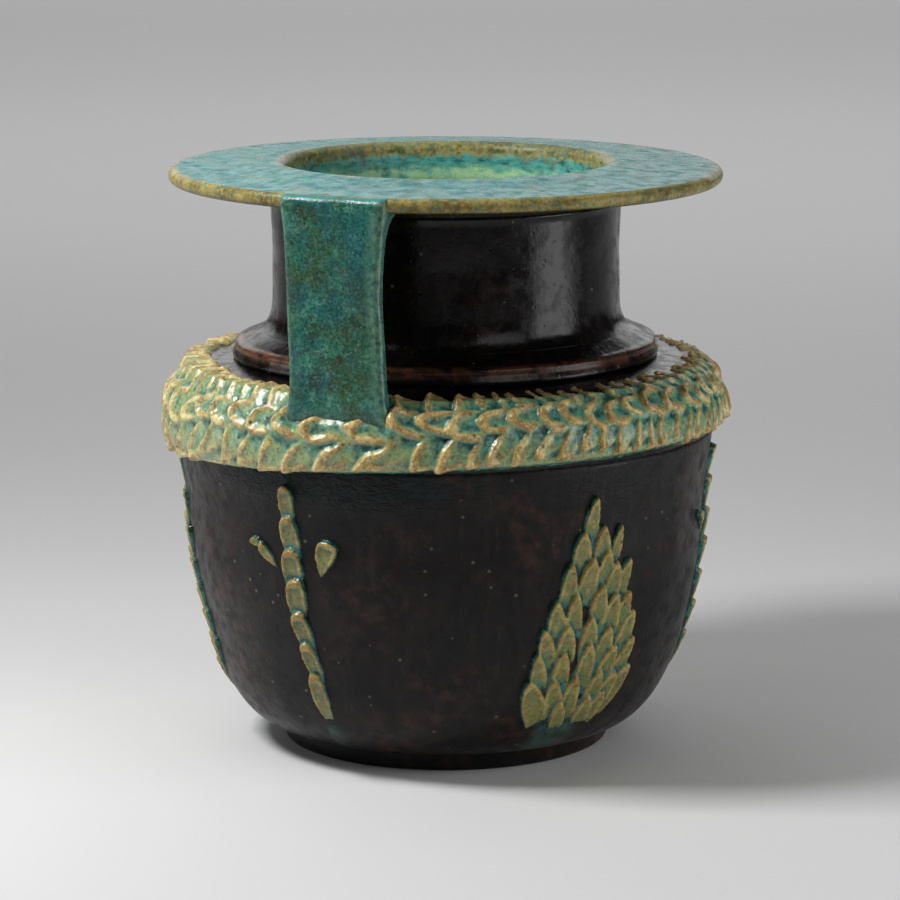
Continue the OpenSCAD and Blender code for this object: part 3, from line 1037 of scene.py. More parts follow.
@dataclass
class TurnedJar:
    """The six turned pieces: foot ring, belly, shoulder, collar, neck and rim."""

    levels: Levels
    made: HandMade
    around: int = 360
    wall: float = 6.0
    foot_ring_w: float = 10.0
    belly_step: float = 4.4
    belly_run: float = 21.0
    belly_rise: float = 8.0
    belly_lean: float = 3.2
    belly_drop: float = 38.0
    floor_t: float = 7.0
    edge_r: float = 81.5
    edge_below: float = 0.3
    neck_r: float = 56.4
    bore_r: float = 50.4
    rim_root: float = 5.0
    rim_edge_t: float = 5.0
    mouth_flare: float = 1.6
    lip_round: float = 3.2
    thin: float = 0.2
    neck_step: float = 9.2
    collar_fall: float = 2.2
    bead_in: float = 2.5
    bead_up: float = 4.6
    uneven: float = 0.12
    dark: Finish = field(default_factory=lambda: DarkGlaze("dark_glaze_belly", 0.34, 0.52, shine=0.24))
    dark_gloss: Finish = field(default_factory=lambda: DarkGlaze(
        "dark_glaze_neck", 0.16, 0.36, swell=0.07, grain=0.02, dust_share=0.25, rust_share=0.3, shine=0.28))
    blue: Finish = field(default_factory=lambda: RimGlaze(
        "worn_turquoise", 0.24, 0.46, grain=0.05, shine=0.2))

    def belly_outside(self, steps: int = 60) -> List[Point]:
        """Draws the belly's outer side, from the foot up to the seam under the garland.

        Args:
            steps: The number of steps.

        Returns:
            Its points.
        """
        lv = self.levels
        return bezier(
            (lv.foot_r + self.belly_step, lv.foot_h),
            (lv.foot_r + self.belly_step + self.belly_run, lv.foot_h + self.belly_rise),
            (lv.belly_r - self.belly_lean, lv.seam_z - self.belly_drop),
            (lv.belly_r, lv.seam_z), steps)

    def belly_at(self, heights: np.ndarray) -> Tuple[np.ndarray, np.ndarray]:
        """Measures the belly's outer side.

        Args:
            heights: Where to measure it.

        Returns:
            Its radii there, and how fast they grow with the height.
        """
        curve = np.array(self.belly_outside(200))
        slope = np.gradient(curve[:, 0], curve[:, 1])
        return np.interp(heights, curve[:, 1], curve[:, 0]), np.interp(heights, curve[:, 1], slope)

    def foot(self) -> Outline:
        """Draws the standing ring, with worn round edges.

        Returns:
            Its outline.
        """
        lv = self.levels
        inner = lv.foot_r - self.foot_ring_w
        return (Outline(1.2)
                .add([(inner, lv.foot_h), (inner, 1.2), (inner + 0.4, 0.35), (inner + 1.2, 0.0)])
                .add(arc((lv.foot_r - 2.6, 1.6), 1.6, 1.6, -90, 0, 8))
                .add([(lv.foot_r - 0.5, lv.foot_h - 2.4), (lv.foot_r, lv.foot_h)])
                .closed())

    def belly(self) -> Outline:
        """Draws the bowl of the jar, outside and inside, closed on the axis.

        Returns:
            Its outline.
        """
        lv = self.levels
        floor_z = lv.foot_h + self.floor_t
        inside = bezier(
            (lv.foot_r - 4, floor_z),
            (lv.foot_r + self.belly_step + self.belly_run - self.wall, floor_z + self.belly_rise),
            (lv.belly_r - self.belly_lean - self.wall, lv.seam_z - self.belly_drop),
            (lv.belly_r - self.wall, lv.seam_z), 50)
        return (Outline(2.2)
                .add([(0.0, lv.foot_h)])
                .add(self.belly_outside(80))
                .add(inside[::-1], inside=True)
                .add([(0.0, floor_z)], inside=True))

    def shoulder(self) -> Outline:
        """Draws the steep side under the garland and the flat top up to the collar.

        Returns:
            Its outline.
        """
        lv = self.levels
        edge_z = lv.coil_top_z - self.edge_below
        top_z = lv.collar_z - self.collar_fall
        under = bezier(
            (lv.belly_r - self.wall, lv.seam_z), (lv.belly_r - self.wall - 1, edge_z - self.wall),
            (self.edge_r - self.wall, edge_z - self.wall), (self.bore_r, lv.collar_z - self.wall), 30)
        return (Outline(1.6)
                .add([(lv.belly_r, lv.seam_z), (lv.belly_r + 1.2, lv.seam_z + 3.5)])
                .add([(self.edge_r + 0.6, edge_z - 2.0)])
                .add(arc((self.edge_r - 1.4, edge_z - 1.6), 1.9, 1.9, 10, 75, 6))
                .add([(lv.collar_r - 1, top_z), (self.bore_r, top_z)])
                .add(under[::-1], inside=True)
                .closed())

    def collar(self) -> Outline:
        """Draws the rounded ring at the foot of the neck.

        Returns:
            Its outline.
        """
        lv = self.levels
        low = lv.collar_z - self.collar_fall
        return (Outline(0.7)
                .add([(self.bore_r, low), (lv.collar_r - 1.6, low)])
                .add(arc((lv.collar_r - 1.5, low + 1.4), 1.5, 1.4, -75, 24, 10))
                .add([(lv.collar_r - 0.9, low + 3.6)])
                .add(arc((lv.collar_r - self.bead_in, low + self.bead_up), 1.6, 1.4, -10, 72, 10))
                .add([(lv.collar_r - 3.4, low + 6.3), (lv.collar_r - 5.4, lv.neck_z - 1.9),
                      (lv.collar_r - self.neck_step, lv.neck_z)])
                .add([(self.bore_r, lv.neck_z)])
                .add([(self.bore_r, low)], inside=True))

    def neck(self) -> Outline:
        """Draws the straight neck, which spreads onto the collar and into the rim.

        Returns:
            Its outline.
        """
        lv = self.levels
        foot = lv.collar_r - self.neck_step
        return (Outline(1.3)
                .add([(self.bore_r, lv.neck_z), (foot, lv.neck_z), (foot, lv.neck_z + 0.1)])
                .add(bezier((foot - 0.1, lv.neck_z + 0.1), (self.neck_r + 1.8, lv.neck_z + 1.6),
                            (self.neck_r + 0.6, lv.neck_z + 4.0), (self.neck_r + 0.3, lv.neck_z + 9.0), 30))
                .add([(self.neck_r, lv.rim_z - 17), (self.neck_r + 0.6, lv.rim_z - 2)])
                .add([(self.neck_r + 1.4, lv.rim_z)])
                .add([(self.bore_r + 0.1, lv.rim_z), (self.bore_r, lv.rim_z)])
                .add([(self.bore_r, lv.rim_z - 0.1)], inside=True)
                .add([(self.bore_r, lv.neck_z)], inside=True))

    def rim(self) -> Outline:
        """Draws the broad disc with its rounded edge, its low crown and the flared mouth.

        Returns:
            Its outline.
        """
        lv = self.levels
        root = self.neck_r + 1.4
        under = lv.rim_z + self.rim_root + self.thin
        edge_z = lv.rim_z + self.rim_root + self.rim_edge_t
        half = (self.rim_edge_t - self.thin) / 2
        lip = self.bore_r + self.mouth_flare
        crest = lip + self.lip_round
        crown = lv.crest_z - edge_z
        return (Outline(1.4)
                .add([(self.bore_r, lv.rim_z + 0.1), (self.bore_r, lv.rim_z)])
                .add([(self.bore_r + 0.1, lv.rim_z)])
                .add(bezier((root, lv.rim_z), (root + 1, lv.rim_z + 0.6 * self.rim_root),
                            (root + 3, under), (root + 7, under), 16))
                .add([(lv.rim_r - 5, under)])
                .add(arc((lv.rim_r - half, under + half), half, half, -90, 78, 18))
                .add([(lv.rim_r - 5, edge_z + 0.02), (lv.rim_r - 12, edge_z + 0.10 * crown)])
                .add([(crest + 12, lv.crest_z - 0.55 * crown), (crest + 4, lv.crest_z - 0.15 * crown)])
                .add([(crest, lv.crest_z)])
                .add(arc((crest, lv.crest_z - self.lip_round), self.lip_round, self.lip_round, 96, 180, 14))
                .add([(lip - 0.6, lv.crest_z - self.lip_round - 2.4),
                      (self.bore_r + 0.8, lv.crest_z - self.lip_round - 5), (self.bore_r, lv.rim_z + 0.1)]))

    def turn(self, name: str, node: str, outline: Outline, dark: Finish, slot: str) -> bpy.types.Object:
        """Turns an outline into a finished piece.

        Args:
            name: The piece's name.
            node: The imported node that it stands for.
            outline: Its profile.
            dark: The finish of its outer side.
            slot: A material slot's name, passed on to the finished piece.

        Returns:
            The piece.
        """
        profile = bpy.data.meshes.new(name + "_profile")
        profile.from_pydata([(r * MM, 0.0, z * MM) for r, z in outline.points], [], [])
        store(profile, {"inside": outline.inside})
        form = grown(turned_tree(), profile, {
            "Points": len(outline.points), "Around": self.around, "Finish": dark.material()})
        count = len(form.vertices)
        points = np.empty(count * 3)
        form.vertices.foreach_get("co", points)
        points = self.made.settle(points.reshape(-1, 3) / MM)
        inside = np.empty(count)
        form.attributes["inside"].data.foreach_get("value", inside)
        uneven = Waves(11, 14.0, 46.0).at(points) * self.uneven
        uneven *= smooth((np.hypot(points[:, 0], points[:, 1]) - 30) / 20)
        uneven *= smooth((points[:, 2] - 9) / 12) * (1 - smooth((points[:, 2] - 172) / 6))
        turn = np.arctan2(points[:, 1], points[:, 0])
        points[:, 0] += uneven * np.cos(turn)
        points[:, 1] += uneven * np.sin(turn)
        form.vertices.foreach_set("co", (points * MM).ravel())
        store(form, self.stains(points))
        numbers = [int(sum(inside[v] > 0.5 for v in face.vertices) >= 2) for face in form.polygons]
        form.polygons.foreach_set("material_index", numbers)
        form.shade_smooth()
        form.update()
        self.check_outwards(form)
        return Piece.finish(name, form, (dark, self.blue), (node,), slot)

    @staticmethod
    def check_outwards(form: bpy.types.Mesh) -> None:
        """Turns the faces round if they point into the solid.

        Args:
            form: The turned mesh.
        """
        form.calc_loop_triangles()
        points = np.array([v.co for v in form.vertices])
        corners = points[np.array([t.vertices for t in form.loop_triangles])]
        if np.einsum("ij,ij->i", corners[:, 0], np.cross(corners[:, 1], corners[:, 2])).sum() < 0:
            form.flip_normals()

    def stains(self, points: np.ndarray) -> Dict[str, np.ndarray]:
        """Finds where a turned piece is stained or worn.

        Args:
            points: Rows of x, y and z.

        Returns:
            For each point the share of the reliefs' run-off, of the crawled glaze under the garland, and of
            wear on the collar's bead, heavier on the lit left side as a painted highlight, by name.
        """
        turn = np.degrees(np.arctan2(points[:, 1], points[:, 0]))
        height = points[:, 2]
        lv = self.levels
        run = np.zeros(len(points))
        for spot in Motifs.run_offs():
            aside = (turn - spot.turn + 180) % 360 - 180
            wide = smooth(1.2 - np.abs(aside) * lv.belly_r * math.pi / 180 / spot.width)
            tall = smooth((spot.high - height) / 6) * smooth((height - spot.low) / 4)
            run = np.maximum(run, spot.share * wide * tall)
        front = np.abs((turn + 92 + 180) % 360 - 180)
        back = np.abs((turn - 80 + 180) % 360 - 180)
        near = np.maximum(1 - smooth((front - 12) / 26), 0.7 * (1 - smooth((back - 12) / 26)))
        below = smooth((height - (lv.seam_z - 16)) / 9) * (height < lv.seam_z + 1)
        reach = np.hypot(points[:, 0], points[:, 1])
        ring_z = lv.collar_z - self.collar_fall + self.bead_up
        ring = 1 - smooth((np.hypot(reach - lv.collar_r + 1.6, height - ring_z) - 0.9) / 2.0)
        # Real rust-brown wear on the bead, with more of it towards the lit left side: a painted highlight.
        wear_and_highlight = ring * (0.65 + 0.35 * smooth(-np.cos(np.radians(turn - 22)) + 0.2))
        return {"run": run, "under": below * (0.22 + 0.78 * near), "wear_and_highlight": wear_and_highlight}

    def build(self) -> None:
        """Makes the six pieces."""
        self.turn("jar_foot", "foot_ring", self.foot(), self.dark, "dark_glaze")
        self.turn("jar_belly", "belly_wall", self.belly(), self.dark, "dark_glaze")
        self.turn("jar_shoulder", "shoulder", self.shoulder(), self.dark_gloss, "dark_glaze")
        self.turn("jar_collar", "collar", self.collar(), self.dark_gloss, "dark_glaze")
        self.turn("jar_neck", "neck", self.neck(), self.dark_gloss, "dark_glaze")
        self.turn("jar_rim", "rim_disc", self.rim(), self.blue, "turquoise_glaze")


# Straps

@dataclass
class StrapHandles:
    """The two flat strap handles from the garland up to the rim's edge."""

    jar: TurnedJar
    made: HandMade
    low_z: float = 118.8
    waist_w: float = 31.2
    head_w: float = 35.0
    foot_w: float = 33.6
    head_shift: float = -1.2
    waist_t: float = 5.2
    root_t: float = 2.4
    proud: float = 0.55
    corner: float = 1.9
    head_round: float = 2.6
    web_t: float = 4.4
    web_reach: float = 1.7
    toe_w: float = 2.4
    toe_reach: float = 3.2
    tuck: float = 1.5
    tuck_reach: float = 2.0
    bend: float = 0.16
    steps: int = 150
    finish: Finish = field(default_factory=lambda: StrapGlaze(
        "mottled_teal", 0.24, 0.46, swell=0.12, grain=0.06))

    def section(self, height: float, top_z: float) -> Tuple[np.ndarray, np.ndarray]:
        """One level outline of the strap, for the -Y side.

        Args:
            height: Its height.
            top_z: The height of the strap's head.

        Returns:
            The outline's points, and how near each is to a long edge.
        """
        rise = height - self.low_z
        under = self.jar.levels.rim_z + self.jar.rim_root
        share = rise / (under - self.low_z)
        flare = abs(2 * min(share, 1.0) - 1) ** 3
        end_w = self.head_w if share > 0.5 else self.foot_w
        width = self.waist_w + (end_w - self.waist_w) * flare + self.toe_w * math.exp(-rise / self.toe_reach)
        web = math.exp(-max(0.0, under - height) / self.web_reach) if share < 1 else 1.0
        deep = self.waist_t + self.root_t * flare ** 2 + self.web_t * web
        face = self.jar.levels.rim_r + self.proud - self.tuck * math.exp(-rise / self.tuck_reach)
        if height > top_z - self.head_round:
            bow = (height - (top_z - self.head_round)) / self.head_round
            face -= self.head_round * (1 - math.sqrt(max(0.0, 1 - bow * bow)))
        corner = min(self.corner, deep / 2 - 0.05)
        outline, near = self.ring(width, deep, corner)
        shift = self.head_shift * smooth(np.array(share * 1.6)).item()
        placed = np.column_stack([
            outline[:, 0] + shift, outline[:, 1] + deep / 2 - face, np.full(len(outline), height)])
        # The right long edge gets the full pale share, partly a painted highlight line; the left gets less.
        return placed, near * np.where(outline[:, 0] > 0, 1.0, 0.3)

    @staticmethod
    def ring(width: float, deep: float, corner: float) -> Tuple[np.ndarray, np.ndarray]:
        """Draws the outline of a flat bar with round corners.

        Args:
            width: The bar's width.
            deep: Its thickness.
            corner: The radius of its corners.

        Returns:
            The points about its middle, and how near each is to a corner.
        """
        def place(quarter: int, degrees: float) -> Point:
            """Finds a point on one of the four corners.

            Args:
                quarter: The corner's number.
                degrees: The direction from its centre.

            Returns:
                The point.
            """
            side_x = 1 if quarter % 4 in (0, 3) else -1
            side_y = 1 if quarter % 4 in (0, 1) else -1
            turn = math.radians(degrees)
            return (side_x * (width / 2 - corner) + corner * math.cos(turn),
                    side_y * (deep / 2 - corner) + corner * math.sin(turn))

        points: List[Point] = []
        near: List[float] = []
        for quarter, span in enumerate((18, 4, 18, 4)):
            points += [place(quarter, 90 * quarter + 90 * i / 7) for i in range(8)]
            near += [1.0] * 8
            last, goal = points[-1], place(quarter + 1, 90 * quarter + 90)
            for part in (i / span for i in range(1, span)):
                points.append((last[0] + (goal[0] - last[0]) * part, last[1] + (goal[1] - last[1]) * part))
                near.append(max(0.0, 1 - min(part, 1 - part) * 9))
        return np.array(points), np.array(near)

    def build(self) -> None:
        """Makes both straps."""
        top_z = self.jar.levels.rim_z + self.jar.rim_root + self.jar.rim_edge_t - 0.12
        main = np.linspace(self.low_z, top_z - self.head_round, self.steps)
        head = top_z - self.head_round * (1 - np.sin(np.linspace(0.08, math.pi / 2, 10)))
        rings = [self.section(z, top_z) for z in np.concatenate([main, head])]
        size = len(rings[0][0])
        count = len(rings)
        points = np.vstack([ring for ring, _ in rings])
        near = np.concatenate([values for _, values in rings])
        ends = [points[:size].mean(0), points[-size:].mean(0)]
        near = np.append(near, [0.0, 0.0])
        faces = []
        for i in range(count - 1):
            for j in range(size):
                k = (j + 1) % size
                faces.append((i * size + j, i * size + k, (i + 1) * size + k, (i + 1) * size + j))
        low_end, high_end = count * size, count * size + 1
        for j in range(0, size, 2):
            k, m = (j + 1) % size, (j + 2) % size
            faces.append((low_end, m, k, j))
            faces.append((high_end, (count - 1) * size + j, (count - 1) * size + k, (count - 1) * size + m))
        points = np.vstack([points, ends])
        for side, name, node in ((1, "strap_front", "front_handle"), (-1, "strap_back", "back_handle")):
            placed = points * (side, side, 1)
            bend = Waves(21 + side, 9.0, 30.0).at(placed) * self.bend
            placed = placed + np.column_stack([0.6 * bend, bend, np.zeros(len(bend))])
            head = smooth((points[:, 2] - top_z + 1.5) / 1.2)
            mesh = Piece.mesh(name, self.made.settle(placed), np.array(faces), {"edge": near, "head": head})
            Piece.finish(name, mesh, (self.finish,), (node,), "teal_glaze")


# Leaves and scales

@dataclass(frozen=True)
class Blade:
    """One leaf or scale of length, width and height 1: root at the origin, tip along X."""

    root: float = 0.62
    swell: float = 1.5
    taper: float = 0.62
    rise: float = 0.22
    hollow: float = 0.40
    thin: float = 0.28
    crest: float = 0.80
    edge: float = 0.18
    lead: float = 0.0
    hook: float = 1.0
    fade: float = 0.0
    along: int = 14
    across: int = 12

    def half(self, x: float) -> float:
        """Half the blade's width at a share of its length, before it is scaled."""
        return (1 - x) ** self.taper * (self.root + self.swell * x)

    def height(self, x: float, y: float) -> float:
        """The blade's height.

        Args:
            x: The share of its length.
            y: The place across it, from -1 to 1.

        Returns:
            The height: it rises to the tip, and its rim stands over its hollow middle.
        """
        tip = min(max((x - 0.66) / 0.26, 0.0), 1.0)
        near = max(abs(y), tip)
        share = min(max((near - self.thin) / (self.crest - self.thin), 0.0), 1.0)
        bank = share * share * (3 - 2 * share)
        bank -= self.edge * max(0.0, (near - self.crest) / (1 - self.crest))
        trail = max(0.0, -y * math.copysign(1.0, self.lead)) * abs(self.lead) * (1 - self.hook * tip)
        fade = 1 - self.fade * (1 - min(max((x - 0.15) / 0.5, 0.0), 1.0))
        body = self.hollow + (1 - self.hollow) * bank * (1 - trail) * fade
        return (self.rise + (1 - self.rise) * x ** 0.9) * body * (1 - 0.35 * trail)

    def mesh(self) -> bpy.types.Mesh:
        """Makes its low mesh.

        Returns:
            The mesh.
        """
        widest = max(self.half(i / 40) for i in range(41))
        points, faces = [], []
        for i in range(self.along + 1):
            x = 1 - (1 - i / self.along) ** 1.25
            for j in range(self.across + 1):
                y = 2 * j / self.across - 1
                points.append((x, 0.5 * y * self.half(x) / widest, self.height(x, y)))
        for i in range(self.along):
            for j in range(self.across):
                a = i * (self.across + 1) + j
                faces.append((a, a + self.across + 1, a + self.across + 2, a + 1))
        made = bpy.data.meshes.new("blade")
        made.from_pydata(points, [], faces)
        return made


@dataclass(frozen=True)
class Scale:
    """One scale of a cone, a stalk or a bud: where its tip is, how it leans to the right, and its size."""

    tip_x: float
    tip_z: float
    lean: float = 0.0
    length: float = 15.0
    width: float = 7.4
    height: float = 2.6


class LeafTrees:
    """The geometry trees that lay leaves and scales on a flat plan, in mm."""

    @staticmethod
    def chance(w: Wiring, number: Socket, seed: Socket, add: int, reach: Feed) -> Socket:
        """Gives each leaf a random number from -reach to reach.

        Args:
            w: The tree's wiring.
            number: The leaf's number.
            seed: The tree's seed.
            add: What is added to the seed.
            reach: The greatest number.

        Returns:
            The random number.
        """
        low = w.times(reach, -1.0)
        node = w.add("FunctionNodeRandomValue", {2: low, 3: reach, 7: number, 8: w.total(seed, add)},
                     data_type="FLOAT")
        return node.outputs[1]

    @staticmethod
    def blade(w: Wiring, holder: Socket) -> Socket:
        """The mesh of the object that holds the blade."""
        return w.add("GeometryNodeObjectInfo", {"Object": holder}).outputs["Geometry"]

    @staticmethod
    def lay(w: Wiring, finish: Socket, out: bpy.types.Node, roots: Socket, blade: Socket, turn: Socket,
            sizes: Tuple[Socket, Socket, Socket]) -> None:
        """Puts the blade on the points and ends the tree.

        Args:
            w: The tree's wiring.
            finish: The material.
            out: The tree's output node.
            roots: The points where the blades start.
            blade: The blade's mesh.
            turn: The direction of each blade's tip, in radians.
            sizes: Each blade's length, width and height.
        """
        laid = w.add("GeometryNodeInstanceOnPoints", {
            "Points": roots, "Instance": blade, "Rotation": w.vector(0.0, 0.0, turn),
            "Scale": w.vector(*sizes)})
        w.feed(out.inputs["Leaves"], w.dressed(laid.outputs[0], finish))

    @staticmethod
    def row() -> bpy.types.NodeTree:
        """Builds the tree for one row of garland leaves, with three spare leaves past each end.

        Returns:
            The tree.
        """
        names = ("Pitch", "Root", "Turn", "Length", "Width", "Height", "Jitter")
        takes = [("Blade", Plug.SHAPE), ("Count", Plug.COUNT), ("Seed", Plug.COUNT),
                 ("Finish", Plug.FINISH)] + [(name, Plug.NUMBER) for name in names]
        tree, get, out = new_tree("leaf_row", "GeometryNodeTree", takes, [("Leaves", Plug.SHAPE)])
        w = Wiring(tree)
        points = w.add("GeometryNodePoints", {"Count": w.total(get["Count"], 6)})
        place = w.math("SUBTRACT", w.add("GeometryNodeInputIndex").outputs[0], 3)
        number = w.math("FLOORED_MODULO", place, get["Count"])
        jitter = get["Jitter"]

        def chance(place_number: int, reach: Feed) -> Socket:
            """A seeded random number for each leaf."""
            return LeafTrees.chance(w, number, get["Seed"], place_number, reach)

        x = w.total(w.times(place, get["Pitch"]), chance(1, w.times(jitter, get["Pitch"])))
        y = w.total(get["Root"], chance(2, w.times(jitter, 5.0)))
        rooted = w.add("GeometryNodeSetPosition", {
            "Geometry": points.outputs[0], "Position": w.vector(x, y, 0.0)})
        turn = w.total(get["Turn"], chance(3, jitter))
        sizes = tuple(w.times(get[name], w.total(1.0, chance(10 + i, jitter)))
                      for i, name in enumerate(("Length", "Width", "Height")))
        LeafTrees.lay(w, get["Finish"], out, rooted.outputs[0], get["Blade"], turn, sizes)
        return tree

    @staticmethod
    def placed() -> bpy.types.NodeTree:
        """Builds the tree that lays scales with their tips on given points.

        Returns:
            The tree.
        """
        takes = [("Tips", Plug.SHAPE), ("Blade", Plug.OBJECT), ("Jitter", Plug.NUMBER),
                 ("Seed", Plug.COUNT), ("Finish", Plug.FINISH)]
        tree, get, out = new_tree("scales_on_tips", "GeometryNodeTree", takes, [("Leaves", Plug.SHAPE)])
        w = Wiring(tree)
        number = w.add("GeometryNodeInputIndex").outputs[0]

        def size(title: str) -> Socket:
            """One of the sizes that the tips store."""
            return w.add("GeometryNodeInputNamedAttribute", {"Name": title}, data_type="FLOAT").outputs[0]

        def change(place: int) -> Socket:
            """A seeded change of size round 1."""
            return w.total(1.0, LeafTrees.chance(w, number, get["Seed"], place, get["Jitter"]))

        length = w.times(size("length"), change(1))
        turn = w.total(size("turn"), LeafTrees.chance(w, number, get["Seed"], 2, get["Jitter"]))
        back = w.vector(w.times(w.math("COSINE", turn), length, -1.0),
                        w.times(w.math("SINE", turn), length, -1.0), 0.0)
        rooted = w.add("GeometryNodeSetPosition", {"Geometry": get["Tips"], "Offset": back})
        LeafTrees.lay(w, get["Finish"], out, rooted.outputs[0], LeafTrees.blade(w, get["Blade"]), turn,
                      (length, w.times(size("width"), change(3)),
                       w.times(size("height"), change(4))))
        return tree


leaf_row_tree = once(LeafTrees.row)
placed_scales_tree = once(LeafTrees.placed)


class Plan:
    """A flat plan of leaves, and the glazed skin that covers them."""

    def __init__(self) -> None:
        """Starts empty."""
        self.points: List[np.ndarray] = []
        self.faces: List[List[int]] = []
        self.count = 0

    def add_row(self, blade: Blade, sizes: Mapping[str, Feed]) -> None:
        """Lays a row of leaves, of the tree's sizes."""
        self.add(grown(leaf_row_tree(), blade.mesh(), sizes))

    def add_scales(self, blade: Blade, scales: Sequence[Scale], jitter: float, seed: int,
                   finish: Finish) -> None:
        """Lays scales where their tips are set.

        Args:
            blade: The shape of one.
            scales: Their places and sizes.
            jitter: How far they stray from their sizes.
            seed: The seed of the straying.
            finish: Their finish.
        """
        tips = bpy.data.meshes.new("tips")
        tips.from_pydata([(scale.tip_x, scale.tip_z, 0.0) for scale in scales], [], [])
        stored = {"turn": [math.radians(90 - scale.lean) for scale in scales],
                  "length": [scale.length for scale in scales],
                  "width": [scale.width for scale in scales],
                  "height": [scale.height for scale in scales]}
        store(tips, stored)
        holder = bpy.data.objects.new("blade", blade.mesh())
        self.add(grown(placed_scales_tree(), tips, {
            "Blade": holder, "Jitter": jitter, "Seed": seed, "Finish": finish.material()}))
        bpy.data.objects.remove(holder)

    def add(self, made: bpy.types.Mesh) -> None:
        """Adds the leaves of a mesh.

        Args:
            made: The mesh.
        """
        points = np.empty(len(made.vertices) * 3)
        made.vertices.foreach_get("co", points)
        self.points.append(points.reshape(-1, 3))
        self.faces += [[v + self.count for v in face.vertices] for face in made.polygons]
        self.count += len(made.vertices)

    def heights(self, x: np.ndarray, y: np.ndarray, missing: float) -> np.ndarray:
        """The height of the topmost leaf at each place.

        Args:
            x: The places across, rows by columns.
            y: The places up, rows by columns.
            missing: The height where there is no leaf.

        Returns:
            The heights, rows by columns.
        """
        shape = BVHTree.FromPolygons(np.vstack(self.points).tolist(), self.faces)
        down = Vector((0.0, 0.0, -1.0))
        result = np.full(x.size, missing)
        for i, (a, b) in enumerate(zip(x.ravel(), y.ravel())):
            hit = shape.ray_cast(Vector((a, b, 20.0)), down)[0]
            if hit is not None:
                result[i] = max(missing, hit.z)
        return result.reshape(x.shape)


@dataclass(frozen=True)
class Spot:
    """A place on the belly where glaze has run off a relief."""

    turn: float
    width: float
    low: float
    high: float
    share: float


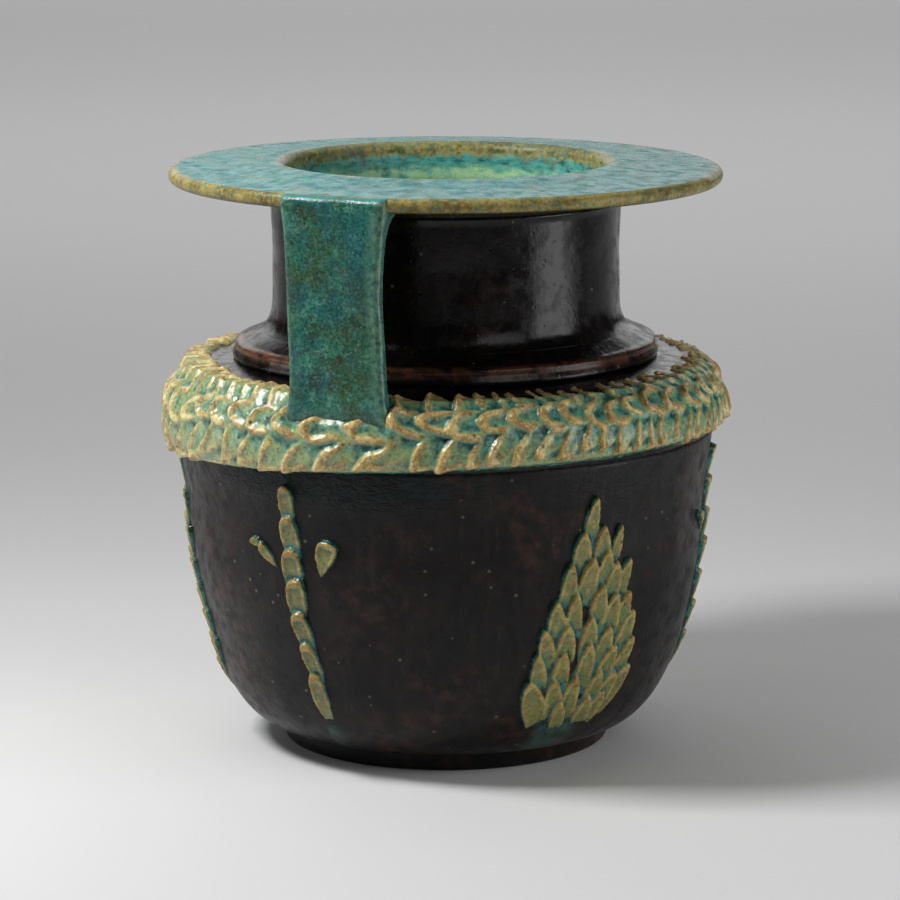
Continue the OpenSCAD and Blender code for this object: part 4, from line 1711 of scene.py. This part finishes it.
@dataclass
class Motifs:
    """The cones, the stalks and the buds, three of each, in turn round the belly."""

    jar: TurnedJar
    made: HandMade
    cell: float = 0.36
    margin: float = 2.5
    sunk: float = 0.7
    back: float = 1.1
    shaded_ridge: float = -1.6
    melt: float = 0.30
    ridge_reach: float = 1.3
    stray: float = 0.05
    cone_blade: Blade = Blade(root=0.85, swell=0.95, taper=0.72, rise=0.06, hollow=0.70, thin=0.45,
                              crest=0.85, edge=0.30)
    stalk_blade: Blade = Blade(root=0.55, swell=1.0, taper=0.42, rise=0.06, hollow=0.55, thin=0.50,
                               crest=0.90, edge=0.30, lead=0.6)
    bud_blade: Blade = Blade(root=0.12, swell=3.0, taper=0.34, rise=0.25, hollow=0.60, thin=0.50)
    pad: float = 0.12
    pad_reach: float = 1.5
    finish: Finish = field(default_factory=lambda: LeafGlaze(
        "scale_green", 0.20, 0.40, hollow=glaze(12, 46, 50), pool=glaze(48, 126, 128),
        flank=glaze(104, 122, 74), ridge=glaze(164, 142, 72), cream=glaze(196, 184, 112),
        rust=glaze(150, 92, 44), rust_share=0.55, foot_share=0.15, hollow_at=-0.80, flank_at=-0.35,
        ridge_at=0.50, shade_at=-2.4, swell=0.08))

    CONE = (
        Scale(0.0, 94.5, 6, 15, 6.4),
        Scale(-4.6, 83.5, 4, 14), Scale(3.6, 84.5, 4, 15), Scale(10.6, 84.0, 10, 15, 4.6),
        Scale(-8.8, 73.5, -2), Scale(-0.9, 74.5, 3, 15), Scale(5.2, 76.5, 5, 15), Scale(9.4, 72.0, 8, 14),
        Scale(14.8, 73.0, 14, 15, 6.4),
        Scale(-13.4, 61.5, -5), Scale(-5.4, 63.5, 0, 16), Scale(3.9, 65.0, 2, 16), Scale(10.4, 62.0, 6, 14),
        Scale(16.8, 62.0, 14),
        Scale(-17.2, 52.5, -8), Scale(-8.4, 53.5, -3), Scale(0.8, 55.5, 1), Scale(8.6, 51.0, 5, 14),
        Scale(19.6, 55.5, 16, 16),
        Scale(-19.6, 44.5, -12), Scale(-9.2, 44.5, -4, 15), Scale(1.2, 46.5, 1, 18, 8.6),
        Scale(12.4, 44.5, 10, 15), Scale(21.2, 46.0, 20, 16),
        Scale(-21.8, 35.5, -24, 18, 9.6), Scale(-11.0, 35.0, -9, 15, 8.6), Scale(-2.6, 36.0, -2, 16),
        Scale(8.4, 36.0, 8, 14), Scale(15.4, 35.0, 16, 14), Scale(22.2, 36.5, 30, 19, 8.4),
        Scale(-6.4, 27.0, -6, 11), Scale(5.6, 27.5, 5, 11), Scale(13.0, 28.0, 26, 12))
    STALK = (
        Scale(-1.3, 98.0, -2, 15, 6.6, 2.6), Scale(-1.2, 87.6, -4, 15, 7.2, 3.0),
        Scale(-1.0, 77.0, -5, 15, 7.4, 3.0), Scale(0.2, 67.2, -5, 15, 7.4, 3.0),
        Scale(0.6, 56.2, -8, 15, 7.4, 3.0), Scale(1.6, 46.0, -10, 15, 7.2, 2.9),
        Scale(2.6, 35.6, -11, 17, 7.0, 2.6))
    BUDS = (
        Scale(-13.6, 76.8, -46, 10.5, 4.4, 2.0), Scale(-17.4, 77.8, -78, 7.5, 3.2, 2.7),
        Scale(14.8, 81.0, 20, 13.0, 8.0, 2.2),)

    COUNT = 3
    STEP = 120.0
    CONE_TURN = -35.0
    STALK_TURN = -102.5
    CONE_STRAY = (0.0, 0.0, -3.0)
    CONE_RELIEF = (1.0, 1.0, 0.8)

    @classmethod
    def run_offs(cls) -> List[Spot]:
        """Lists the smears under each cone and each stalk.

        Returns:
            The smears.
        """
        cones = [Spot(cls.CONE_TURN - 3 + i * cls.STEP + cls.CONE_STRAY[i], 13.0, 5.0, 27.0, 0.95)
                 for i in range(cls.COUNT)]
        stalks = [Spot(cls.STALK_TURN + 3 + i * cls.STEP, 3.4, 7.0, 20.0, 0.8) for i in range(cls.COUNT)]
        return cones + stalks

    def cover(self, name: str, node: str, turn: float, blade: Blade, scales: Sequence[Scale], seed: int,
              relief: float = 1.0) -> None:
        """Lays scales flat, covers them with a glazed skin and wraps it on the belly.

        Args:
            name: The piece's name.
            node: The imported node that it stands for.
            turn: The motif's direction from the axis.
            blade: The shape of one scale.
            scales: The scales.
            seed: The seed of their straying.
            relief: How high they stand, as a share of their full height.
        """
        plan = Plan()
        plan.add_scales(blade, scales, self.stray, seed, self.finish)
        laid = np.vstack(plan.points)
        left, low = laid[:, :2].min(0) - self.margin
        right, high = laid[:, :2].max(0) + self.margin
        x, y = np.meshgrid(np.arange(left, right, self.cell), np.arange(low, high, self.cell))
        sway = 0.35 * np.sin(y / 5.0 + seed) + 0.25 * np.sin(x / 3.0 + y / 7.0)
        heights = plan.heights(x + sway, y + 0.3 * np.sin(x / 3.1 + turn), -self.sunk - 0.9)
        heights, ridge = self.glazed(heights)
        heights = np.where(heights > 0, heights * relief, heights)
        bare = heights < -self.sunk
        heights = np.maximum(heights, -self.sunk)
        reach, slope = self.jar.belly_at(y)
        angle = math.radians(turn) + x / self.jar.levels.belly_r
        lean = 1 / np.sqrt(1 + slope ** 2)

        def shell(height: np.ndarray) -> np.ndarray:
            """The points at a height above the wall."""
            return self.made.settle(about_axis(reach + height * lean, angle, y - height * slope * lean))

        outer = shell(heights)
        inner = shell(np.full_like(heights, -self.sunk - self.back))
        used, faces = np.unique(self.shell_faces(bare), return_inverse=True)
        # Sunk places get the lowest ridge, which the glaze paints as shade.
        ridge = np.where(heights < 0.02, self.shaded_ridge, ridge)
        stored = np.concatenate([ridge.ravel(), np.full(ridge.size, self.shaded_ridge)])[used] / RIDGE_UNIT
        mesh = Piece.mesh(name, np.vstack([outer, inner])[used], faces.reshape(-1, 4), {"ridge": stored})
        Piece.finish(name, mesh, (self.finish,), (node,), "relief_glaze")

    def glazed(self, heights: np.ndarray) -> Tuple[np.ndarray, np.ndarray]:
        """Melts a glazed skin over laid scales.

        Args:
            heights: The heights of the scales, rows by columns.

        Returns:
            The heights of the skin, and how far it stands above its surroundings.
        """
        filled = blur((heights > 0).astype(float), self.pad_reach / self.cell, wraps=False) > 0.56
        heights = np.maximum(heights, np.where(filled, self.pad, -9.0))
        heights = blur(heights, self.melt / self.cell, wraps=False)
        there = (heights > 0).astype(float)
        spread = self.ridge_reach / self.cell
        around = np.maximum(blur(there, spread, wraps=False), 0.05)
        level = blur(heights * there, spread, wraps=False) / around
        return heights, np.where(heights > 0, heights - level, 0.0)

    @staticmethod
    def shell_faces(bare: np.ndarray) -> np.ndarray:
        """Closes two grids of points, one after the other, round what isn't bare.

        Args:
            bare: Which places of the grid have no glaze, rows by columns.

        Returns:
            The faces, as rows of four point numbers.
        """
        rows, columns = bare.shape
        total = rows * columns
        keep = ~(bare[:-1, :-1] & bare[1:, :-1] & bare[:-1, 1:] & bare[1:, 1:])
        keep[0, :] = keep[-1, :] = keep[:, 0] = keep[:, -1] = False
        i, j = np.nonzero(keep)
        a = i * columns + j
        quads = np.column_stack([a, a + 1, a + columns + 1, a + columns])
        padded = np.pad(keep, 1)
        walls = []
        for di, dj, first, second in ((-1, 0, 0, 1), (1, 0, 2, 3), (0, -1, 3, 0), (0, 1, 1, 2)):
            open_side = ~padded[1 + di + i, 1 + dj + j]
            start, end = quads[open_side, first], quads[open_side, second]
            walls.append(np.column_stack([end, start, start + total, end + total]))
        return np.vstack([quads, quads[:, ::-1] + total] + walls)

    def build(self) -> None:
        """Makes the nine pieces."""
        for i in range(self.COUNT):
            cone_turn = self.CONE_TURN + i * self.STEP + self.CONE_STRAY[i]
            stalk_turn = self.STALK_TURN + i * self.STEP
            self.cover(f"cone_{i + 1}", f"cone_relief_{i + 1}", cone_turn, self.cone_blade,
                       self.CONE, 40 + i, self.CONE_RELIEF[i])
            self.cover(f"stalk_{i + 1}", f"stalk_relief_{i + 1}", stalk_turn, self.stalk_blade,
                       self.STALK, 60 + i)
            self.cover(f"buds_{i + 1}", f"bud_pair_{i + 1}", stalk_turn, self.bud_blade,
                       self.BUDS, 80 + i)


@dataclass(frozen=True)
class LeafRow:
    """One row of the garland."""

    count: int
    root: float
    turn: float
    length: float
    width: float
    height: float
    lead: float
    seed: int
    stretch: float
    upright: float


@dataclass
class Garland:
    """The round-backed band of three leaf rows between the belly and the shoulder."""

    jar: TurnedJar
    made: HandMade
    centre_r: float = 71.4
    centre_z: float = 108.3
    round_r: float = 20.7
    coil_to: float = 59.0
    low_end: float = -36.0
    high_end: float = 84.0
    lower_top: float = 23.6
    middle_top: float = 46.5
    hem: float = -1.0
    crown: float = 70.0
    droop: float = 8.0
    droop_turn: float = -158.0
    # A pale cream wash on the leaves facing the key lamp: painted light.
    painted_light_turn: float = -140.0
    painted_light_share: float = 0.75
    grain: float = 0.07
    shoulder_rise: float = 1.6
    plan_r: float = 90.0
    cell: float = 0.35
    melt: float = 0.5
    ridge_reach: float = 2.3
    sunk: float = 1.0
    back: float = 12.0
    rows: Tuple[LeafRow, ...] = (
        LeafRow(76, 46.0, 134.0, 13.4, 7.2, 2.8, 1.0, 5, 0.06, 0.7),
        LeafRow(62, 35.5, 180.0, 14.0, 8.6, 2.8, 0.2, 6, 0.16, 0.0),
        LeafRow(74, 24.4, 226.0, 13.6, 7.2, 2.7, -1.0, 7, 0.30, 0.0))
    finish: Finish = field(default_factory=lambda: LeafGlaze(
        "leaf_ochre", 0.12, 0.34, shine=0.6, swell=0.14, grain=0.07, pits=0.10))

    @property
    def degree_mm(self) -> float:
        """The length of one degree round the coil."""
        return self.round_r * math.pi / 180

    def hang(self, place: np.ndarray) -> np.ndarray:
        """How far the garland's lower edge hangs down in mm, in each direction from the axis."""
        return self.droop * facing(place, self.droop_turn) ** 2.6

    def base(self, turn: np.ndarray, hang: np.ndarray) -> np.ndarray:
        """The bare coil's distance from its centre, sunk into the vessel past its two edges.

        Args:
            turn: The turns about the coil's centre.
            hang: How far the lower edge hangs down there.

        Returns:
            The distances.
        """
        radians = np.radians(turn)
        levels = self.jar.levels
        edge_r, edge_z = self.jar.edge_r, levels.coil_top_z - self.jar.edge_below
        fall = (levels.collar_z - self.jar.collar_fall - edge_z) / (edge_r - levels.collar_r + 1)
        rise = edge_z - self.centre_z + (edge_r - self.centre_r) * fall
        top = rise / (np.sin(radians) + fall * np.cos(radians))
        drop = (levels.belly_r - self.centre_r) * np.tan(np.minimum(radians, 0))
        wall, _ = self.jar.belly_at(self.centre_z + drop)
        side = (wall - 0.9 - self.centre_r) / np.cos(radians)
        vessel = np.where(turn > self.coil_to - 6, top, np.where(turn < 6, side, 0)) - self.sunk
        start = self.hem - hang / self.degree_mm
        low_fall = 3.6 * smooth((start - turn) / 9.0) + 0.4 * np.maximum(0, start - 9.0 - turn)
        high_fall = 0.28 * np.maximum(0, turn - self.coil_to + 4.0)
        return np.maximum(vessel, self.round_r - low_fall - high_fall)

    def row_heights(self, row: LeafRow, place: np.ndarray, up: np.ndarray) -> np.ndarray:
        """Lays one row on a flat plan, along the garland and up round the coil, and measures it.

        Args:
            row: The row.
            place: Directions from the axis, in radians.
            up: Distances round the coil, in mm.

        Returns:
            The height of the row's leaves at each place.
        """
        plan = Plan()
        plan.add_row(self.leaf(row), {
            "Count": row.count, "Pitch": 2 * math.pi * self.plan_r / row.count,
            "Root": row.root * self.degree_mm, "Turn": math.radians(row.turn),
            "Length": row.length, "Width": row.width, "Height": row.height,
            "Jitter": 0.13, "Seed": row.seed, "Finish": self.finish.material()})
        shift = (row.stretch / 2 * np.sin(2 * (place + 1.745)) + 0.04 * np.sin(place + 1.45)
                 + 0.026 * np.sin(5 * place + 1.3) + 0.012 * np.sin(9 * place + 0.4 + up / 6))
        left = ((1 + np.cos(place + 2.2)) / 2) ** 3
        way = self.plan_r * (place - shift) - row.upright * left * (up - 18.0)
        stir = about_axis(self.plan_r, place, up)
        way = way + 0.45 * Waves(51 + row.seed, 6.0, 16.0).at(stir).reshape(way.shape)
        up = up + 0.40 * Waves(61 + row.seed, 5.0, 14.0).at(stir).reshape(way.shape)
        return plan.heights(np.mod(way, 2 * math.pi * self.plan_r), up, -0.1)

    @staticmethod
    def leaf(row: LeafRow) -> Blade:
        """Shapes the leaf of one row: a slender comma, or an arch where it has no leading edge.

        Args:
            row: The row.

        Returns:
            The leaf.
        """
        if abs(row.lead) > 0.5:
            return Blade(root=0.80, swell=0.9, taper=0.78, hollow=0.48 if row.lead > 0 else 0.36, thin=0.26,
                         lead=row.lead, hook=0.05, fade=0.25)
        return Blade(root=0.66, swell=1.5, taper=0.66, hollow=0.38, thin=0.30, lead=row.lead, fade=0.55)

    def strap_foot(self, place: np.ndarray, turn: np.ndarray) -> np.ndarray:
        """Raises the skin where it runs up against the feet of the two straps.

        Args:
            place: The directions from the axis, in radians.
            turn: The turns about the coil's centre, in degrees.

        Returns:
            How far the skin rises.
        """
        aside = np.minimum(np.abs(place + math.pi / 2), np.abs(place - math.pi / 2)) * 86
        beside = smooth((turn - 14) / 12) * (1 - smooth((turn - 42) / 12))
        corners = 1.7 * np.exp(-((aside - 17.6) / 2.4) ** 2) * beside
        toe = 1.1 * np.exp(-(aside / 15) ** 4) * np.exp(-((turn - 28) / 6) ** 2)
        return corners + toe

    def relief(self, place: np.ndarray, turn: np.ndarray,
               hang: np.ndarray) -> Tuple[np.ndarray, np.ndarray]:
        """Melts the glazed skin over the three rows of leaves.

        Args:
            place: The directions from the axis, in radians, rows by columns.
            turn: The turns about the coil's centre, in degrees.
            hang: How far the lower edge hangs down there.

        Returns:
            The heights of the skin, and how far it stands above its surroundings.
        """
        y = turn * self.degree_mm
        crown, span = self.crown * self.degree_mm, (self.crown - self.hem) * self.degree_mm
        up = (crown - (crown - y) * span / (span + hang) + 0.5 * np.sin(4 * place + 0.7)
              + 0.35 * np.sin(11 * place + 2.2) + 0.25 * np.sin(23 * place + y / 3))
        heights = np.maximum.reduce([self.row_heights(row, place, up) for row in self.rows])
        heights = heights * smooth((up / self.degree_mm - self.hem + 12) / 6)
        heights = blur(heights, self.melt / self.cell, wraps=True)
        line = self.hem - hang / self.degree_mm
        ridge = heights - blur(heights, self.ridge_reach / self.cell, wraps=True)
        ridge = ridge + 0.34 * np.exp(-((turn - line - 1.0) / 2.2) ** 2) - 0.5 * (turn < line - 4.0)
        grain = Waves(31, 2.2, 6.0).at(about_axis(self.plan_r, place, y)).reshape(y.shape)
        heights = heights + self.grain * grain + self.strap_foot(place, turn)
        swell = facing(place, self.droop_turn) ** 2 * np.exp(-((turn - 60) / 14) ** 2)
        return heights + self.shoulder_rise * swell, ridge

    def build(self) -> None:
        """Makes the three bands."""
        columns = int(2 * math.pi * self.plan_r / self.cell)
        around = np.arange(columns) * 2 * math.pi / columns - math.pi
        edges = (self.low_end, self.lower_top, self.middle_top, self.high_end)
        bands = list(zip(edges, edges[1:]))
        counts = [int(round((high - low) * self.degree_mm / self.cell)) for low, high in bands]
        turns = [np.linspace(low, high, count, endpoint=False) for (low, high), count in zip(bands, counts)]
        place, turn = np.meshgrid(around, np.concatenate(turns + [[self.high_end]]))
        hang = self.hang(place)
        heights, ridge = self.relief(place, turn, hang)
        # Painted light: the leaves turned towards the key lamp are washed pale.
        pale = self.painted_light_share * facing(place, self.painted_light_turn) ** 4
        radians = np.radians(turn)

        def shell(distance: np.ndarray) -> np.ndarray:
            """Finds the points at a distance from the coil's centre.

            Args:
                distance: The distances, rows by columns.

            Returns:
                The points, rows by columns.
            """
            flat = about_axis(self.centre_r + distance * np.cos(radians), place,
                              self.centre_z + distance * np.sin(radians))
            return self.made.settle(flat).reshape(turn.shape + (3,))

        outer = shell(self.base(turn, hang) + heights)
        inner = shell(np.full_like(heights, self.back))
        starts = np.concatenate([[0], np.cumsum(counts)])
        names = (("garland_lower", ("garland_lower_leaves", "garland_coil")),
                 ("garland_middle", ("garland_middle_leaves",)),
                 ("garland_upper", ("garland_upper_leaves",)))
        normals = self.normals(outer)
        for (name, nodes), start, end in zip(names, starts, starts[1:]):
            self.band(name, nodes, outer[start:end + 1], inner[[end, start]], ridge[start:end + 1],
                      pale[start:end + 1], normals[start:end + 1])

    @staticmethod
    def normals(outer: np.ndarray) -> np.ndarray:
        """Works out the skin's own normals, so that neighbouring bands shade as one.

        Args:
            outer: The skin's points, rows by columns.

        Returns:
            The normals, rows by columns.
        """
        along = np.roll(outer, -1, axis=1) - np.roll(outer, 1, axis=1)
        up = np.gradient(outer, axis=0)
        cross = np.cross(along, up)
        return cross / np.linalg.norm(cross, axis=2, keepdims=True)

    def band(self, name: str, nodes: Sequence[str], outer: np.ndarray, inner: np.ndarray, ridge: np.ndarray,
             pale: np.ndarray, normals: np.ndarray) -> None:
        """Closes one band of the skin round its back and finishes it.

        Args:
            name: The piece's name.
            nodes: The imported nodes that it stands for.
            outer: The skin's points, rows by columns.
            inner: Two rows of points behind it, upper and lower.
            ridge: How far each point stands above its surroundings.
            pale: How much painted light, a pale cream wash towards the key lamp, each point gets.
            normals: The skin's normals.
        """
        grid = np.concatenate([outer, inner])
        rows, columns = grid.shape[:2]
        i, j = np.meshgrid(np.arange(rows), np.arange(columns), indexing="ij")
        k, m = (i + 1) % rows, (j + 1) % columns
        corners = [i * columns + j, i * columns + m, k * columns + m, k * columns + j]
        faces = np.stack(corners, axis=-1).reshape(-1, 4)
        stored = np.concatenate([ridge / RIDGE_UNIT, np.zeros(inner.shape[:2])]).ravel()
        # The stored pale share is painted light.
        light = np.concatenate([pale, np.zeros(inner.shape[:2])]).ravel()
        mesh = Piece.mesh(name, grid.reshape(-1, 3), faces, {"ridge": stored, "pale": light})
        made = np.empty(len(mesh.vertices) * 3)
        mesh.vertex_normals.foreach_get("vector", made)
        made = made.reshape(-1, 3)
        made[:normals.shape[0] * columns] = normals.reshape(-1, 3)
        mesh.normals_split_custom_set_from_vertices(made.tolist())
        Piece.finish(name, mesh, (self.finish,), nodes, "leaf_glaze")


# Studio

@dataclass(frozen=True)
class Lamp:
    """A soft light, in m and W: where it is and what it faces as the camera sees it, and its size."""

    name: str
    place: Tuple[float, float, float]
    aim: Tuple[float, float, float]
    size: Tuple[float, float]
    watts: float


@dataclass
class Studio:
    """The camera, the pale floor and the soft lights."""

    turn: float = 22.0
    distance: float = 1260.0
    height: float = 335.9
    tilt: float = 10.83
    lens: float = 155.54
    sensor: float = 36.0
    shift: float = 0.0048
    floor: Colour = glaze(232, 232, 232)
    floor_half: float = 14.0
    glow: float = 0.03
    lamps: Tuple[Lamp, ...] = (
        Lamp("key", (-0.34, -0.12, 0.53), (0.12, -0.20, 0.0), (0.14, 0.14), 2.95),
        Lamp("card", (0.60, -0.19, 0.2), (0.0, 0.0, 0.2), (0.30, 0.4), 1.18),
        Lamp("front", (0.55, -0.75, 0.60), (0.15, -0.2, 0.0), (0.5, 0.5), 1.2),
        Lamp("side", (-0.80, 0.06, 0.24), (0.0, 0.0, 0.16), (0.3, 0.42), 0.8),
        Lamp("back", (0.0, 1.1, 1.9), (0.0, 3.0, 0.0), (2.8, 1.0), 27.0),
        Lamp("wall", (0.0, 4.3, 1.3), (0.0, 0.6, 0.0), (5.6, 1.8), 32.0))

    def towards(self, right: float, away: float, up: float) -> Vector:
        """Turns a place as the camera sees it into one in the jar's frame.

        Args:
            right: How far it is to the camera's right.
            away: How far it is behind the jar's axis.
            up: Its height.

        Returns:
            The place, in the same unit.
        """
        turn = math.radians(self.turn)
        return Vector((right * math.cos(turn) - away * math.sin(turn),
                       right * math.sin(turn) + away * math.cos(turn), up))

    def camera(self) -> None:
        """Puts the camera where the photograph was taken from."""
        data = bpy.data.cameras.new("camera")
        data.sensor_width = self.sensor
        data.lens = self.lens
        data.shift_x = self.shift
        data.clip_start, data.clip_end = 0.05, 40.0
        camera = bpy.data.objects.new("camera", data)
        camera.location = self.towards(0.0, -self.distance, self.height) * MM
        camera.rotation_euler = (math.radians(90 - self.tilt), 0.0, math.radians(self.turn))
        bpy.context.scene.collection.objects.link(camera)
        bpy.context.scene.camera = camera

    def hang(self, lamp: Lamp) -> None:
        """Hangs one soft light.

        Args:
            lamp: The light.
        """
        data = bpy.data.lights.new(lamp.name, "AREA")
        data.shape = "RECTANGLE"
        data.size, data.size_y = lamp.size
        data.energy = lamp.watts
        light = bpy.data.objects.new(lamp.name, data)
        light.location = self.towards(*lamp.place)
        way = self.towards(*lamp.aim) - light.location
        light.rotation_euler = way.to_track_quat("-Z", "Y").to_euler()
        bpy.context.scene.collection.objects.link(light)

    def ground(self) -> None:
        """Lays the pale floor, far wider than any view."""
        corners = [(right * self.floor_half, away * self.floor_half, 0.0)
                   for right, away in ((-1, -1), (1, -1), (1, 1), (-1, 1))]
        mesh = bpy.data.meshes.new("floor")
        mesh.from_pydata(corners, [], [(0, 1, 2, 3)])
        material = bpy.data.materials.new("floor_paper")
        material.use_nodes = True
        w = Shade(material.node_tree)
        shader = material.node_tree.nodes["Principled BSDF"]
        shader.inputs["Base Color"].default_value = self.floor
        shader.inputs["Specular IOR Level"].default_value = 0.0
        w.feed(shader.inputs["Roughness"], w.cloud(60.0, 0.0, 1.0))
        mesh.materials.append(material)
        floor = bpy.data.objects.new("floor", mesh)
        bpy.context.scene.collection.objects.link(floor)

    def air(self) -> None:
        """Gives the air its own faint glow."""
        world = bpy.data.worlds.new("air")
        world.use_nodes = True
        sky = world.node_tree.nodes["Background"]
        sky.inputs[0].default_value = (1.0, 1.0, 1.0, 1.0)
        sky.inputs[1].default_value = self.glow
        bpy.context.scene.world = world

    def build(self) -> None:
        """Sets the whole studio up."""
        bpy.context.scene.view_settings.view_transform = "Standard"
        self.camera()
        for lamp in self.lamps:
            self.hang(lamp)
        self.air()
        self.ground()


def main() -> None:
    """Builds the studio and the jar, piece by piece."""
    levels = Levels.read()
    made = HandMade()
    Studio().build()
    jar = TurnedJar(levels, made)
    jar.build()
    StrapHandles(jar, made).build()
    Motifs(jar, made).build()
    Garland(jar, made).build()
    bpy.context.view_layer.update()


if __name__ == "__main__":
    main()
